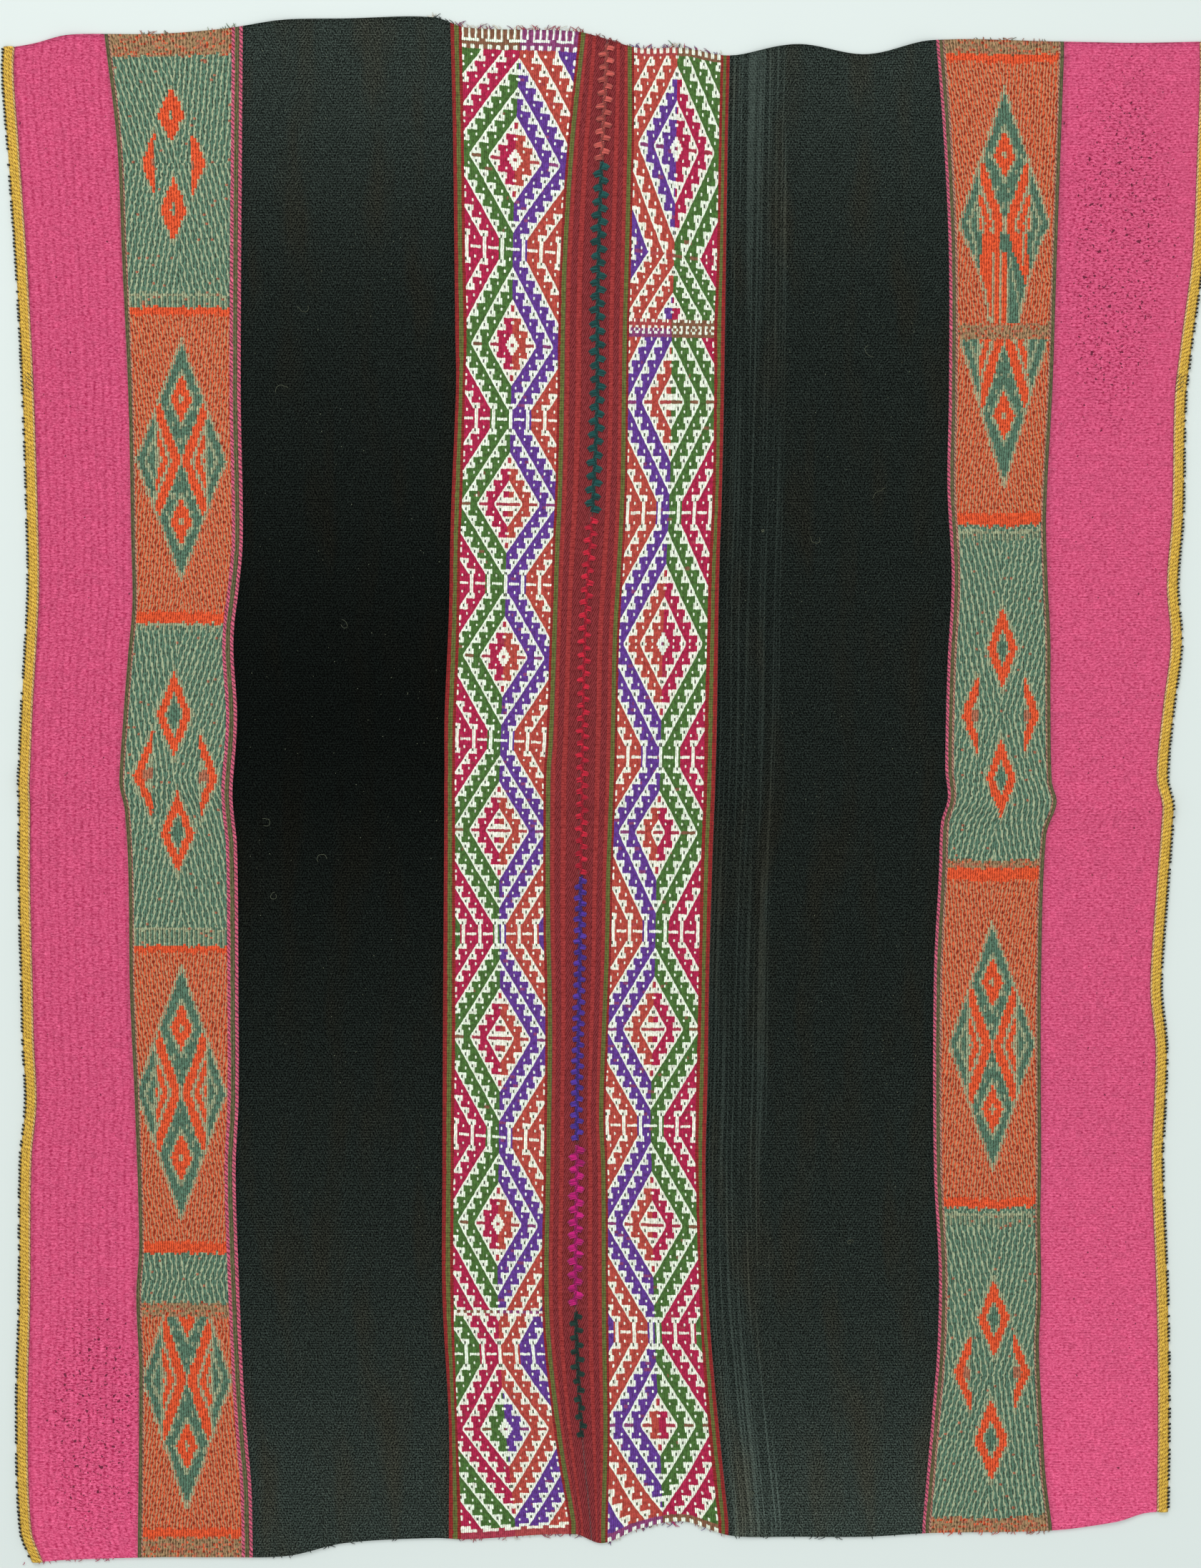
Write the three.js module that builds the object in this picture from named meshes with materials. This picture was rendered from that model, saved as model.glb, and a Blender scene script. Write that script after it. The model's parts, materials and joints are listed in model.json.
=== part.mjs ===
// A carrying cloth of two handwoven panels, joined down the middle by a seam of
// coloured zigzag stitches, with a tubular edging along each outer side.
// It lies flat and unfolded. Millimetres: +X runs across the cloth, +Y along its
// length and +Z up, from an origin on the surface under the middle of the cloth.
import * as THREE from "three";

// The woven sheet
const SHEET_THICKNESS = 1.8;
const PIECE_GAP = 0.3;
const PANEL_COLUMNS = 17;
const ROWS_TO_HEM = 22;

// Where the cloth was once folded in half, a soft ridge is left across it
const CREASE_LEFT = { x: -470, y: 5 };
const CREASE_RIGHT = { x: 445, y: -13 };
const CREASE_HEIGHT = 3.0;
const CREASE_HALF_WIDTH = 20;
const CREASE_ROW = 5;

// The tubular edging beside each outer selvedge
const EDGING_WIDTH = 9.0;
const EDGING_THICKNESS = 3.2;
const EDGING_SIDES = 8;

// The zigzag stitches over the seam
const STITCH_STEP = 5.6;
const STITCH_THICKNESS = 1.3;
const STITCH_LIFT = 0.4;

// Down the length: the outside of the left edging, the seam, and the outside of
// the right edging, at each level y
const LENGTH_STATIONS = [
  { y: 605, left: -470, seam: 1, right: 473 },
  { y: 565, left: -473, seam: 0, right: 474 },
  { y: 505, left: -469, seam: -3, right: 472 },
  { y: 420, left: -463, seam: -6, right: 468 },
  { y: 350, left: -459, seam: -7, right: 459 },
  { y: 305, left: -457, seam: -7, right: 454 },
  { y: 215, left: -454, seam: -11, right: 452 },
  { y: 160, left: -453, seam: -15, right: 448 },
  { y: 115, left: -455, seam: -17, right: 451 },
  { y: 65, left: -458, seam: -18, right: 445 },
  { y: 10, left: -460, seam: -19, right: 440 },
  { y: -14, left: -460, seam: -19, right: 444 },
  { y: -75, left: -460, seam: -20, right: 440 },
  { y: -155, left: -458, seam: -21, right: 435 },
  { y: -200, left: -457, seam: -22, right: 439 },
  { y: -245, left: -455, seam: -23, right: 438 },
  { y: -290, left: -459, seam: -23, right: 436 },
  { y: -400, left: -460, seam: -24, right: 440 },
  { y: -490, left: -462, seam: -20, right: 441 },
  { y: -580, left: -459, seam: -12, right: 440 },
  { y: -605, left: -450, seam: -11, right: 440 },
];

// Across the width: how far the top and bottom ends of the weaving reach at each x
const END_STATIONS = [
  { x: -475, top: 580, bottom: -605 },
  { x: -450, top: 584, bottom: -605 },
  { x: -420, top: 591, bottom: -603 },
  { x: -350, top: 592, bottom: -601 },
  { x: -300, top: 596, bottom: -601 },
  { x: -250, top: 603, bottom: -600 },
  { x: -205, top: 604, bottom: -590 },
  { x: -135, top: 605, bottom: -586 },
  { x: -110, top: 597, bottom: -587 },
  { x: -25, top: 594, bottom: -583 },
  { x: -3, top: 589, bottom: -590 },
  { x: 25, top: 581, bottom: -579 },
  { x: 60, top: 581, bottom: -573 },
  { x: 97, top: 575, bottom: -584 },
  { x: 150, top: 584, bottom: -585 },
  { x: 203, top: 576, bottom: -585 },
  { x: 257, top: 587, bottom: -582 },
  { x: 350, top: 586, bottom: -580 },
  { x: 400, top: 585, bottom: -573 },
  { x: 425, top: 585, bottom: -566 },
  { x: 475, top: 586, bottom: -566 },
];

// Soft ripples that stand a little off the surface: the middle of each, half its
// length, half its width, its height, and its turn from lengthwise in degrees
const RIPPLES = [
  { x: -415, y: 560, halfLength: 70, halfWidth: 32, height: 2.6, turn: 12 },
  { x: -262, y: 565, halfLength: 75, halfWidth: 34, height: 3.0, turn: -6 },
  { x: -120, y: 470, halfLength: 90, halfWidth: 30, height: 2.2, turn: 4 },
  { x: 127, y: 540, halfLength: 85, halfWidth: 26, height: 3.2, turn: 3 },
  { x: 240, y: 545, halfLength: 95, halfWidth: 28, height: 3.4, turn: -5 },
  { x: 395, y: 520, halfLength: 90, halfWidth: 34, height: 2.4, turn: 8 },
  { x: -385, y: 130, halfLength: 120, halfWidth: 36, height: 2.2, turn: -3 },
  { x: -175, y: -120, halfLength: 95, halfWidth: 40, height: 1.8, turn: 6 },
  { x: 190, y: 90, halfLength: 110, halfWidth: 38, height: 2.0, turn: -4 },
  { x: 370, y: -150, halfLength: 110, halfWidth: 36, height: 2.4, turn: 5 },
  { x: -395, y: -330, halfLength: 120, halfWidth: 34, height: 2.4, turn: 4 },
  { x: -230, y: -545, halfLength: 80, halfWidth: 34, height: 3.0, turn: -10 },
  { x: 100, y: -520, halfLength: 90, halfWidth: 26, height: 2.6, turn: 6 },
  { x: 215, y: -380, halfLength: 110, halfWidth: 36, height: 2.0, turn: -7 },
  { x: 385, y: -525, halfLength: 80, halfWidth: 32, height: 3.0, turn: 14 },
];

// The runs of stitches down the seam, each of one yarn colour
const SEAM_RUNS = [
  { name: "seam_salmon", top: 584, bottom: 494, reach: 11, yarn: 5.2, color: "#c85550" },
  { name: "seam_teal", top: 492, bottom: 216, reach: 11.5, yarn: 5.0, color: "#195050" },
  { name: "seam_crimson", top: 213, bottom: -66, reach: 9, yarn: 4.4, color: "#c81e32" },
  { name: "seam_violet", top: -69, bottom: -276, reach: 9, yarn: 4.4, color: "#4b2d91" },
  { name: "seam_magenta", top: -279, bottom: -406, reach: 11, yarn: 4.8, color: "#c31973" },
  { name: "seam_dark_green", top: -409, bottom: -508, reach: 11, yarn: 4.8, color: "#19322d" },
];

const PANEL_COLOR = "#1e2424";
const EDGING_COLOR = "#e1a532";
const WOOL_ROUGHNESS = 0.9;

// The value of one column of a table at a place between its rows, on a smooth curve
function tableValue(rows, key, column, at) {
  const ordered = [...rows].sort((a, b) => a[key] - b[key]);
  const last = ordered.length - 1;
  const held = THREE.MathUtils.clamp(at, ordered[0][key], ordered[last][key]);
  let i = 0;
  while (i < last - 1 && held > ordered[i + 1][key]) i += 1;
  const slopeAt = (k) => {
    const before = ordered[Math.max(k - 1, 0)];
    const after = ordered[Math.min(k + 1, last)];
    return (after[column] - before[column]) / (after[key] - before[key]);
  };
  const span = ordered[i + 1][key] - ordered[i][key];
  const t = (held - ordered[i][key]) / span;
  const rise = t * t * (3 - 2 * t);
  const startPull = t * (1 - t) * (1 - t) * span * slopeAt(i);
  const endPull = t * t * (1 - t) * span * slopeAt(i + 1);
  return THREE.MathUtils.lerp(ordered[i][column], ordered[i + 1][column], rise) + startPull - endPull;
}

// A soft bump: 1 in its middle, falling to 0 at a distance of 1
function softBump(distance) {
  return distance >= 1 ? 0 : 0.5 + 0.5 * Math.cos(Math.PI * distance);
}

// The level of the half-length crease at x
function creaseY(x) {
  const t = (x - CREASE_LEFT.x) / (CREASE_RIGHT.x - CREASE_LEFT.x);
  return THREE.MathUtils.lerp(CREASE_LEFT.y, CREASE_RIGHT.y, t);
}

// How far the cloth's underside stands off the surface at a point
function lift(x, y) {
  let height = CREASE_HEIGHT * softBump(Math.abs(y - creaseY(x)) / CREASE_HALF_WIDTH);
  for (const ripple of RIPPLES) {
    const turn = THREE.MathUtils.degToRad(ripple.turn);
    const dx = x - ripple.x;
    const dy = y - ripple.y;
    const across = (dx * Math.cos(turn) + dy * Math.sin(turn)) / ripple.halfWidth;
    const along = (dy * Math.cos(turn) - dx * Math.sin(turn)) / ripple.halfLength;
    height = Math.max(height, ripple.height * softBump(Math.hypot(across, along)));
  }
  return height;
}

// The levels of the rows from the crease at x to an end at endY, closer at the crease
function rowLevels(x, endY) {
  const middle = creaseY(x);
  const toEnd = Math.sign(endY - middle);
  const levels = [];
  for (let step = CREASE_ROW; step < CREASE_HALF_WIDTH; step += CREASE_ROW) {
    levels.push(middle + toEnd * step);
  }
  const first = middle + toEnd * CREASE_HALF_WIDTH;
  for (let row = 0; row <= ROWS_TO_HEM; row += 1) {
    levels.push(THREE.MathUtils.lerp(first, endY, row / ROWS_TO_HEM));
  }
  return levels;
}

// A point for each row of one line that runs down the cloth: xAt(y) is its place
function linePoints(xAt) {
  const endX = (side) => {
    let x = xAt(0);
    for (let turn = 0; turn < 4; turn += 1) {
      x = xAt(tableValue(END_STATIONS, "x", side, x));
    }
    return x;
  };
  const topY = tableValue(END_STATIONS, "x", "top", endX("top"));
  const bottomY = tableValue(END_STATIONS, "x", "bottom", endX("bottom"));
  const middleX = xAt(creaseY(xAt(0)));
  const above = rowLevels(middleX, topY);
  const below = rowLevels(middleX, bottomY).reverse();
  const levels = [...below, creaseY(middleX), ...above];
  return levels.map((y) => ({ x: xAt(y), y }));
}

// A closed mesh from its corner points and faces of three or four corners
function solidFrom(corners, faces) {
  const positions = new Float32Array(corners.flat());
  const index = faces.flatMap((f) => (f.length === 3 ? f : [f[0], f[1], f[2], f[0], f[2], f[3]]));
  const geometry = new THREE.BufferGeometry();
  geometry.setAttribute("position", new THREE.BufferAttribute(positions, 3));
  geometry.setIndex(index);
  geometry.computeVertexNormals();
  return geometry;
}

// The two faces and four edges of a woven sheet, from its lines of points
function sheetGeometry(lines) {
  const columns = lines.length - 1;
  const rows = lines[0].length - 1;
  const corners = [];
  for (const raise of [0, SHEET_THICKNESS]) {
    for (const line of lines) {
      line.forEach((p) => corners.push([p.x, p.y, lift(p.x, p.y) + raise]));
    }
  }
  const under = (i, j) => i * (rows + 1) + j;
  const over = (i, j) => under(columns + 1, 0) + under(i, j);
  const faces = [];
  for (let i = 0; i < columns; i += 1) {
    for (let j = 0; j < rows; j += 1) {
      faces.push([over(i, j), over(i + 1, j), over(i + 1, j + 1), over(i, j + 1)]);
      faces.push([under(i, j), under(i, j + 1), under(i + 1, j + 1), under(i + 1, j)]);
    }
    faces.push([under(i, 0), under(i + 1, 0), over(i + 1, 0), over(i, 0)]);
    faces.push([over(i, rows), over(i + 1, rows), under(i + 1, rows), under(i, rows)]);
  }
  for (let j = 0; j < rows; j += 1) {
    faces.push([under(0, j), over(0, j), over(0, j + 1), under(0, j + 1)]);
    faces.push([over(columns, j), under(columns, j), under(columns, j + 1), over(columns, j + 1)]);
  }
  return solidFrom(corners, faces);
}

// A closed bar whose section is a ring of points, one ring for each station
function barGeometry(rings) {
  const sides = rings[0].length;
  const corners = rings.flat();
  const faces = [];
  for (let k = 0; k < rings.length - 1; k += 1) {
    for (let s = 0; s < sides; s += 1) {
      const next = (s + 1) % sides;
      const here = k * sides;
      const there = here + sides;
      faces.push([here + s, there + s, there + next, here + next]);
    }
  }
  const end = (rings.length - 1) * sides;
  for (let s = 1; s < sides - 1; s += 1) {
    faces.push([0, s, s + 1]);
    faces.push([end, end + s + 1, end + s]);
  }
  return solidFrom(corners, faces);
}

// A named mesh with the matt finish of spun yarn
function woolMesh(name, geometry, color) {
  const material = new THREE.MeshStandardMaterial({ color, roughness: WOOL_ROUGHNESS, metalness: 0 });
  const mesh = new THREE.Mesh(geometry, material);
  mesh.name = name;
  return mesh;
}

// The inner side of each edging, where its panel starts, and the seam's line
const seamX = (y) => tableValue(LENGTH_STATIONS, "y", "seam", y);
const leftSelvedge = (y) => tableValue(LENGTH_STATIONS, "y", "left", y) + EDGING_WIDTH + PIECE_GAP;
const rightSelvedge = (y) => tableValue(LENGTH_STATIONS, "y", "right", y) - EDGING_WIDTH - PIECE_GAP;

// One woven panel, from its outer selvedge to the seam
function makePanel(name, fromX, toX) {
  const lines = [];
  for (let i = 0; i <= PANEL_COLUMNS; i += 1) {
    const share = i / PANEL_COLUMNS;
    lines.push(linePoints((y) => THREE.MathUtils.lerp(fromX(y), toX(y), share)));
  }
  return woolMesh(name, sheetGeometry(lines), PANEL_COLOR);
}

// One tubular edging, flat beneath and rounded above, just outside a selvedge
function makeEdging(name, selvedge, outward) {
  const rings = linePoints(selvedge).map((p) => {
    const base = lift(p.x, p.y);
    const innerX = p.x + outward * PIECE_GAP;
    const ring = [];
    for (let s = 0; s < EDGING_SIDES; s += 1) {
      const angle = (Math.PI * s) / (EDGING_SIDES - 1);
      const across = (EDGING_WIDTH / 2) * (1 - outward * Math.cos(angle));
      const x = outward > 0 ? innerX + EDGING_WIDTH - across : innerX - EDGING_WIDTH + across;
      ring.push([x, p.y, base + EDGING_THICKNESS * Math.sin(angle)]);
    }
    return ring;
  });
  return woolMesh(name, barGeometry(rings), EDGING_COLOR);
}

// One run of zigzag stitches lying over the seam
function makeSeamRun(run) {
  const steps = Math.round((run.top - run.bottom) / STITCH_STEP);
  const rings = [];
  for (let k = 0; k <= steps; k += 1) {
    const y = THREE.MathUtils.lerp(run.bottom, run.top, k / steps);
    const swing = ((run.reach - run.yarn) / 2) * (k % 2 === 0 ? 1 : -1);
    const x = seamX(y) + swing;
    const base = lift(seamX(y), y) + SHEET_THICKNESS + STITCH_LIFT;
    const half = run.yarn / 2;
    rings.push([
      [x + half, y, base],
      [x + half, y, base + STITCH_THICKNESS * 0.55],
      [x, y, base + STITCH_THICKNESS],
      [x - half, y, base + STITCH_THICKNESS * 0.55],
      [x - half, y, base],
    ]);
  }
  return woolMesh(run.name, barGeometry(rings), run.color);
}

const cloth = new THREE.Group();
cloth.add(makePanel("panel_left", leftSelvedge, (y) => seamX(y) - PIECE_GAP / 2));
cloth.add(makePanel("panel_right", (y) => seamX(y) + PIECE_GAP / 2, rightSelvedge));
cloth.add(makeEdging("edging_left", leftSelvedge, -1));
cloth.add(makeEdging("edging_right", rightSelvedge, 1));
SEAM_RUNS.forEach((run) => cloth.add(makeSeamRun(run)));

export default cloth;
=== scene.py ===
"""Looks of a carrying cloth of two handwoven panels, laid flat and seen from above.

Places on the cloth are read from the photograph in its pixels, and at() turns
them into metres. Everything else is in metres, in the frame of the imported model.
"""

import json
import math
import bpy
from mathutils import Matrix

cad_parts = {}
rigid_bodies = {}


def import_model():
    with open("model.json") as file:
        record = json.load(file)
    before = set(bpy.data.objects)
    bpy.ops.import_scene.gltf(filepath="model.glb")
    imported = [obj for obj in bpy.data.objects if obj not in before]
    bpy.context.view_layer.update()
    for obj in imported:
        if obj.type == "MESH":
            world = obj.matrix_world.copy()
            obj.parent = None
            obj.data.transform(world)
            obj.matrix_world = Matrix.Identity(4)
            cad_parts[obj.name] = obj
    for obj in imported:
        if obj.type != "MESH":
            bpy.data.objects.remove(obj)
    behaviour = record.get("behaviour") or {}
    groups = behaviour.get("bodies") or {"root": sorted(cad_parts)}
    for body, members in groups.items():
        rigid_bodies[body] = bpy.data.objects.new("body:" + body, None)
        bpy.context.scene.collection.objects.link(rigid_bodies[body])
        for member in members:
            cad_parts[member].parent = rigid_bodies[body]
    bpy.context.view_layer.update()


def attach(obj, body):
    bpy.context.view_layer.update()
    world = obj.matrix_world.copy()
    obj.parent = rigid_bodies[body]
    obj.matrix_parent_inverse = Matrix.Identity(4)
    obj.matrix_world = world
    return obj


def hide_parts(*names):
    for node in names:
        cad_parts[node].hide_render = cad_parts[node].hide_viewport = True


bl_info = {
    "name": "Aguayo carrying cloth",
    "version": (1, 0, 0),
    "blender": (4, 5, 0),
    "location": "View3D > Sidebar > Cloth",
    "description": "Weaves a carrying cloth of two striped panels over its packed frame",
    "category": "Object",
}

import bpy
import numpy as np

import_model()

# How the photograph's pixels lie on the cloth
METRES_PER_PIXEL = 0.00056
PIXEL_X_AT_ORIGIN = 848.0
PIXEL_Y_AT_ORIGIN = 1105.0
PHOTO_WIDTH = 1680
PHOTO_HEIGHT = 2194

# The woven sheet, its edging and the gap between pieces
THICKNESS = 0.0018
EDGING_WIDTH = 0.0090
EDGING_THICKNESS = 0.0032
EDGING_RINGS = 1240
EDGING_SIDES = 13
PIECE_GAP = 0.0003
# How far the plain weave lies below the sheet's top, and how far the side bands'
# motifs and cords stand above it
WEAVE_SINK = 0.0002
MOTIF_RELIEF = 0.00012
CORD_RELIEF = 0.00025

# The camera straight above the cloth, and the floor under it
CAMERA_HEIGHT = 2.6
SENSOR_HEIGHT = 24.0
FLOOR_HALF = 4.0
FLOOR_LEVEL = -0.0004

# Down the length, in millimetres: the outside of the left edging, the seam, and
# the outside of the right edging, at each level y
LENGTH_STATIONS = [
    # y, left, seam, right
    (605, -470, 1, 473),
    (565, -473, 0, 474),
    (505, -469, -3, 472),
    (420, -463, -6, 468),
    (350, -459, -7, 459),
    (305, -457, -7, 454),
    (215, -454, -11, 452),
    (160, -453, -15, 448),
    (115, -455, -17, 451),
    (65, -458, -18, 445),
    (10, -460, -19, 440),
    (-14, -460, -19, 444),
    (-75, -460, -20, 440),
    (-155, -458, -21, 435),
    (-200, -457, -22, 439),
    (-245, -455, -23, 438),
    (-290, -459, -23, 436),
    (-400, -460, -24, 440),
    (-490, -462, -20, 441),
    (-580, -459, -12, 440),
    (-605, -450, -11, 440),
]

# Across the width, in millimetres: the top and bottom ends of the weaving at each x
END_STATIONS = [
    # x, top, bottom
    (-475, 580, -605),
    (-450, 584, -605),
    (-420, 591, -603),
    (-350, 592, -601),
    (-300, 596, -601),
    (-250, 603, -600),
    (-205, 604, -590),
    (-135, 605, -586),
    (-110, 597, -587),
    (-25, 594, -583),
    (-3, 589, -590),
    (25, 581, -579),
    (60, 581, -573),
    (97, 575, -584),
    (150, 584, -585),
    (203, 576, -585),
    (257, 587, -582),
    (350, 586, -580),
    (400, 585, -573),
    (425, 585, -566),
    (475, 586, -566),
]

# Soft ripples, in millimetres: middle, half length, half width, height, and turn
# from lengthwise in degrees
RIPPLES = [
    # x, y, half_length, half_width, height, turn
    (-415, 560, 70, 32, 2.6, 12),
    (-262, 565, 75, 34, 3.0, -6),
    (-120, 470, 90, 30, 2.2, 4),
    (127, 540, 85, 26, 3.2, 3),
    (240, 545, 95, 28, 3.4, -5),
    (395, 520, 90, 34, 2.4, 8),
    (-385, 130, 120, 36, 2.2, -3),
    (-175, -120, 95, 40, 1.8, 6),
    (190, 90, 110, 38, 2.0, -4),
    (370, -150, 110, 36, 2.4, 5),
    (-395, -330, 120, 34, 2.4, 4),
    (-230, -545, 80, 34, 3.0, -10),
    (100, -520, 90, 26, 2.6, 6),
    (215, -380, 110, 36, 2.0, -7),
    (385, -525, 80, 32, 3.0, 14),
]
CREASE_LEFT = (-470, 5)
CREASE_RIGHT = (445, -13)
CREASE_HEIGHT = 3.0
CREASE_HALF_WIDTH = 20

# The stripes' edges in photo pixels, as (y, x) down the cloth
LEFT_PINK_EDGE = [
    (46, 146), (200, 164), (357, 171), (557, 180), (754, 184), (844, 186), (915, 180),
    (1004, 173), (1094, 168), (1134, 175), (1223, 180), (1384, 182), (1544, 189),
    (1741, 195), (1812, 191), (1920, 195), (2170, 193),
]
LEFT_BLACK_START = [
    (57, 340), (540, 337), (754, 340), (826, 334), (875, 328), (915, 327), (1004, 332),
    (1116, 326), (1187, 332), (1401, 334), (1544, 334), (1634, 330), (1777, 334),
    (1937, 341), (2009, 346), (2080, 352), (2170, 354),
]
LEFT_BLACK_END = [
    (30, 630), (200, 634), (464, 637), (540, 638), (719, 631), (861, 628), (1004, 622),
    (1080, 622), (1400, 620), (1634, 619), (1812, 619), (1991, 628), (2130, 628),
]
LEFT_CHART_START = [
    (45, 646), (200, 649), (357, 651), (464, 653), (540, 651), (683, 647), (774, 644),
    (897, 642), (1040, 637), (1259, 637), (1438, 637), (1616, 635), (1838, 635),
    (2130, 645),
]
LEFT_CHART_END = [
    (45, 810), (200, 794), (357, 784), (464, 781), (540, 780), (683, 777), (774, 773),
    (897, 769), (1040, 764), (1080, 761), (1259, 760), (1438, 763), (1616, 761),
    (1838, 759), (2000, 775), (2130, 796),
]
RIGHT_CHART_START = [
    (89, 887), (179, 887), (357, 883), (464, 880), (540, 879), (683, 877), (808, 871),
    (897, 866), (1004, 864), (1080, 862), (1223, 857), (1330, 855), (1437, 851),
    (1562, 847), (1634, 850), (1850, 851), (2009, 853), (2130, 850),
]
RIGHT_CHART_END = [
    (89, 1008), (179, 1006), (357, 1003), (464, 999), (540, 999), (683, 997), (808, 991),
    (897, 989), (1004, 986), (1080, 985), (1223, 980), (1330, 978), (1437, 976),
    (1562, 973), (1634, 973), (1850, 980), (2009, 992), (2130, 1005),
]
RIGHT_BLACK_START = [
    (75, 1021), (200, 1018), (540, 1013), (683, 1010), (808, 1006), (1003, 1003),
    (1080, 1001), (1223, 996), (1366, 992), (1509, 990), (1634, 987), (1800, 990),
    (1937, 1000), (2130, 1019),
]
RIGHT_BLACK_END = [
    (57, 1309), (200, 1320), (357, 1327), (557, 1327), (683, 1325), (808, 1331),
    (933, 1325), (1076, 1322), (1116, 1325), (1151, 1316), (1223, 1313), (1366, 1306),
    (1634, 1306), (1777, 1313), (1884, 1311), (1973, 1304), (2134, 1290),
]
RIGHT_PINK_EDGE = [
    (78, 1488), (357, 1478), (540, 1472), (719, 1463), (808, 1465), (897, 1469),
    (969, 1469), (1094, 1471), (1123, 1477), (1169, 1463), (1366, 1456), (1634, 1456),
    (1705, 1455), (1812, 1456), (1884, 1453), (1991, 1458), (2062, 1462), (2134, 1471),
]

# How the chart's rows tilt across each band: (y, fall per pixel to the right)
LEFT_TILT = [(45, 0.05), (224, 0.13), (349, 0.08), (706, 0.02), (1036, 0.05), (1306, 0.0),
             (1590, 0.08), (1894, 0.0), (2150, 0.0)]
RIGHT_TILT = [(75, 0.06), (208, 0.13), (359, 0.14), (450, 0.03), (563, 0.0), (901, 0.0),
              (1304, 0.02), (1440, 0.0), (1714, 0.04), (1994, 0.0), (2140, 0.0)]

# The lattice chart of each pattern band, as passages of turning rows: the row's
# level in the photo, its count in the chart, and how its lines turn there
LEFT_PASSAGES = [
    [(70, -7, "point"), (224, 30, "ring"), (349, 0, "cross"), (483.5, 30, "ring"),
     (587, 4, "cross"), (706, 34, "point"), (817, 4, "cross"), (919, 30, "ring"),
     (1036, 0, "cross"), (1162, 34, "point"), (1306.5, -4, "cross"),
     (1452.4, 34, "point"), (1590.6, 0, "cross"), (1712, 30, "ring"), (1831, 1, "point")],
    [(1843, 17, "point"), (1894, 4, "cross"), (1999, 30, "ring"), (2134, -7, "point")],
]
RIGHT_PASSAGES = [
    [(84, 3, "point"), (208.5, 30, "ring"), (359, 2, "point"), (445, 25, "point")],
    [(475, 15, "point"), (563, 34, "point"), (717.7, 0, "cross"), (901.2, 40, "ring"),
     (1059.7, 4, "cross"), (1164.7, 30, "point"), (1303.7, 0, "cross"),
     (1440, 34, "point"), (1575, 0, "cross"), (1714, 34, "point"), (1864, -4, "cross"),
     (1993.8, 26, "point"), (2121, -5, "point")],
]
# The side bands' lengths, as (start level, end level, what they are)
LEFT_SIDE_PARTS = [
    (38, 75, "mixed"), (75, 411, "green"), (411, 430, "comb"),
    (430, 441, "solid"), (441, 856, "orange"), (856, 872, "solid"), (872, 882, "comb"),
    (882, 1298, "green"), (1298, 1323, "comb"),
    (1323, 1332, "solid"), (1332, 1737, "orange"), (1737, 1753, "solid"),
    (1753, 1822, "green"), (1822, 1842, "mixed"), (1842, 2138, "orange"),
    (2138, 2150, "solid"), (2150, 2180, "mixed"),
]
RIGHT_SIDE_PARTS = [
    (56, 78, "mixed"), (78, 89, "solid"), (89, 454, "orange"), (454, 475, "mixed"),
    (475, 718, "orange"), (718, 735, "solid"), (735, 742, "green"), (742, 756, "comb"),
    (756, 1203, "green"),
    (1203, 1214, "mixed"), (1214, 1232, "solid"), (1232, 1676, "orange"), (1676, 1689, "solid"),
    (1689, 1697, "green"), (1697, 1714, "comb"), (1714, 2121, "green"),
    (2121, 2148, "mixed"),
]

# Their motifs: kind, middle in photo pixels, half width and half height. A lozenge
# holds four diamonds, a diamond is a ring with a hole of that share, and an arrow
# is the outer half of one
LEFT_MOTIFS = [
    # kind, x, y, half_width, half_height, hole
    ("diamond", 240, 161, 23, 45, 0.18),
    ("arrow_left", 216, 229, 21, 52, 0.15),
    ("arrow_right", 270, 229, 22, 52, 0.15),
    ("diamond", 243, 294, 22, 54, 0.18),
    ("lozenge", 254, 644, 65, 172, 0),
    ("diamond", 244, 1000, 29, 71, 0.46),
    ("arrow_left", 213, 1084, 31, 70, 0.46),
    ("arrow_right", 281, 1086, 29, 70, 0.46),
    ("diamond", 249, 1165, 28, 68, 0.44),
    ("lozenge", 254, 1528, 65, 182, 0),
    ("lozenge", 262, 1930, 64, 186, 0),
]
RIGHT_MOTIFS = [
    # kind, x, y, half_width, half_height, hole
    ("lozenge_broken", 1405, 314, 65, 196, 0),
    ("lozenge", 1404, 476, 63, 209, 0),
    ("diamond", 1402, 906, 25, 68, 0.40),
    ("arrow_left", 1367, 1001, 26, 66, 0.40),
    ("arrow_right", 1432, 1001, 26, 66, 0.40),
    ("diamond", 1400, 1088, 25, 66, 0.40),
    ("lozenge", 1388, 1462, 62, 178, 0),
    ("diamond", 1390, 1843, 26, 64, 0.42),
    ("arrow_left", 1357, 1920, 27, 64, 0.42),
    ("arrow_right", 1418, 1920, 27, 64, 0.42),
    ("diamond", 1386, 2013, 28, 68, 0.42),
]
# The levels about which each side band's slanted floats change their lean
SIDE_MIDDLES = {
    "left": (229, 644, 1085, 1528, 1790, 1930),
    "right": (314, 476, 1001, 1462, 1925),
}
# Columns across a side band, and photo pixels to a row there and in the plain strips
SIDE_COLUMNS = 38
SIDE_ROW = 3.2
PLAIN_ROW = 9

# The runs of stitches down the seam: levels in the photo, reach of a leaf, its
# spacing and strands
SEAM_RUNS = [
    # name, dye, top, bottom, reach, step, strands
    ("seam_salmon", "salmon", 61, 225, 11.5, 9.2, 4),
    ("seam_teal", "teal", 227, 721, 11.5, 9.6, 5),
    ("seam_crimson", "seam_crimson", 723, 1224, 9.5, 8.8, 4),
    ("seam_violet", "violet", 1226, 1600, 9.0, 7.6, 4),
    ("seam_magenta", "magenta", 1602, 1831, 11.0, 9.2, 5),
    ("seam_dark_green", "dark_green", 1835, 2010, 10.0, 10.0, 4),
]

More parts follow.
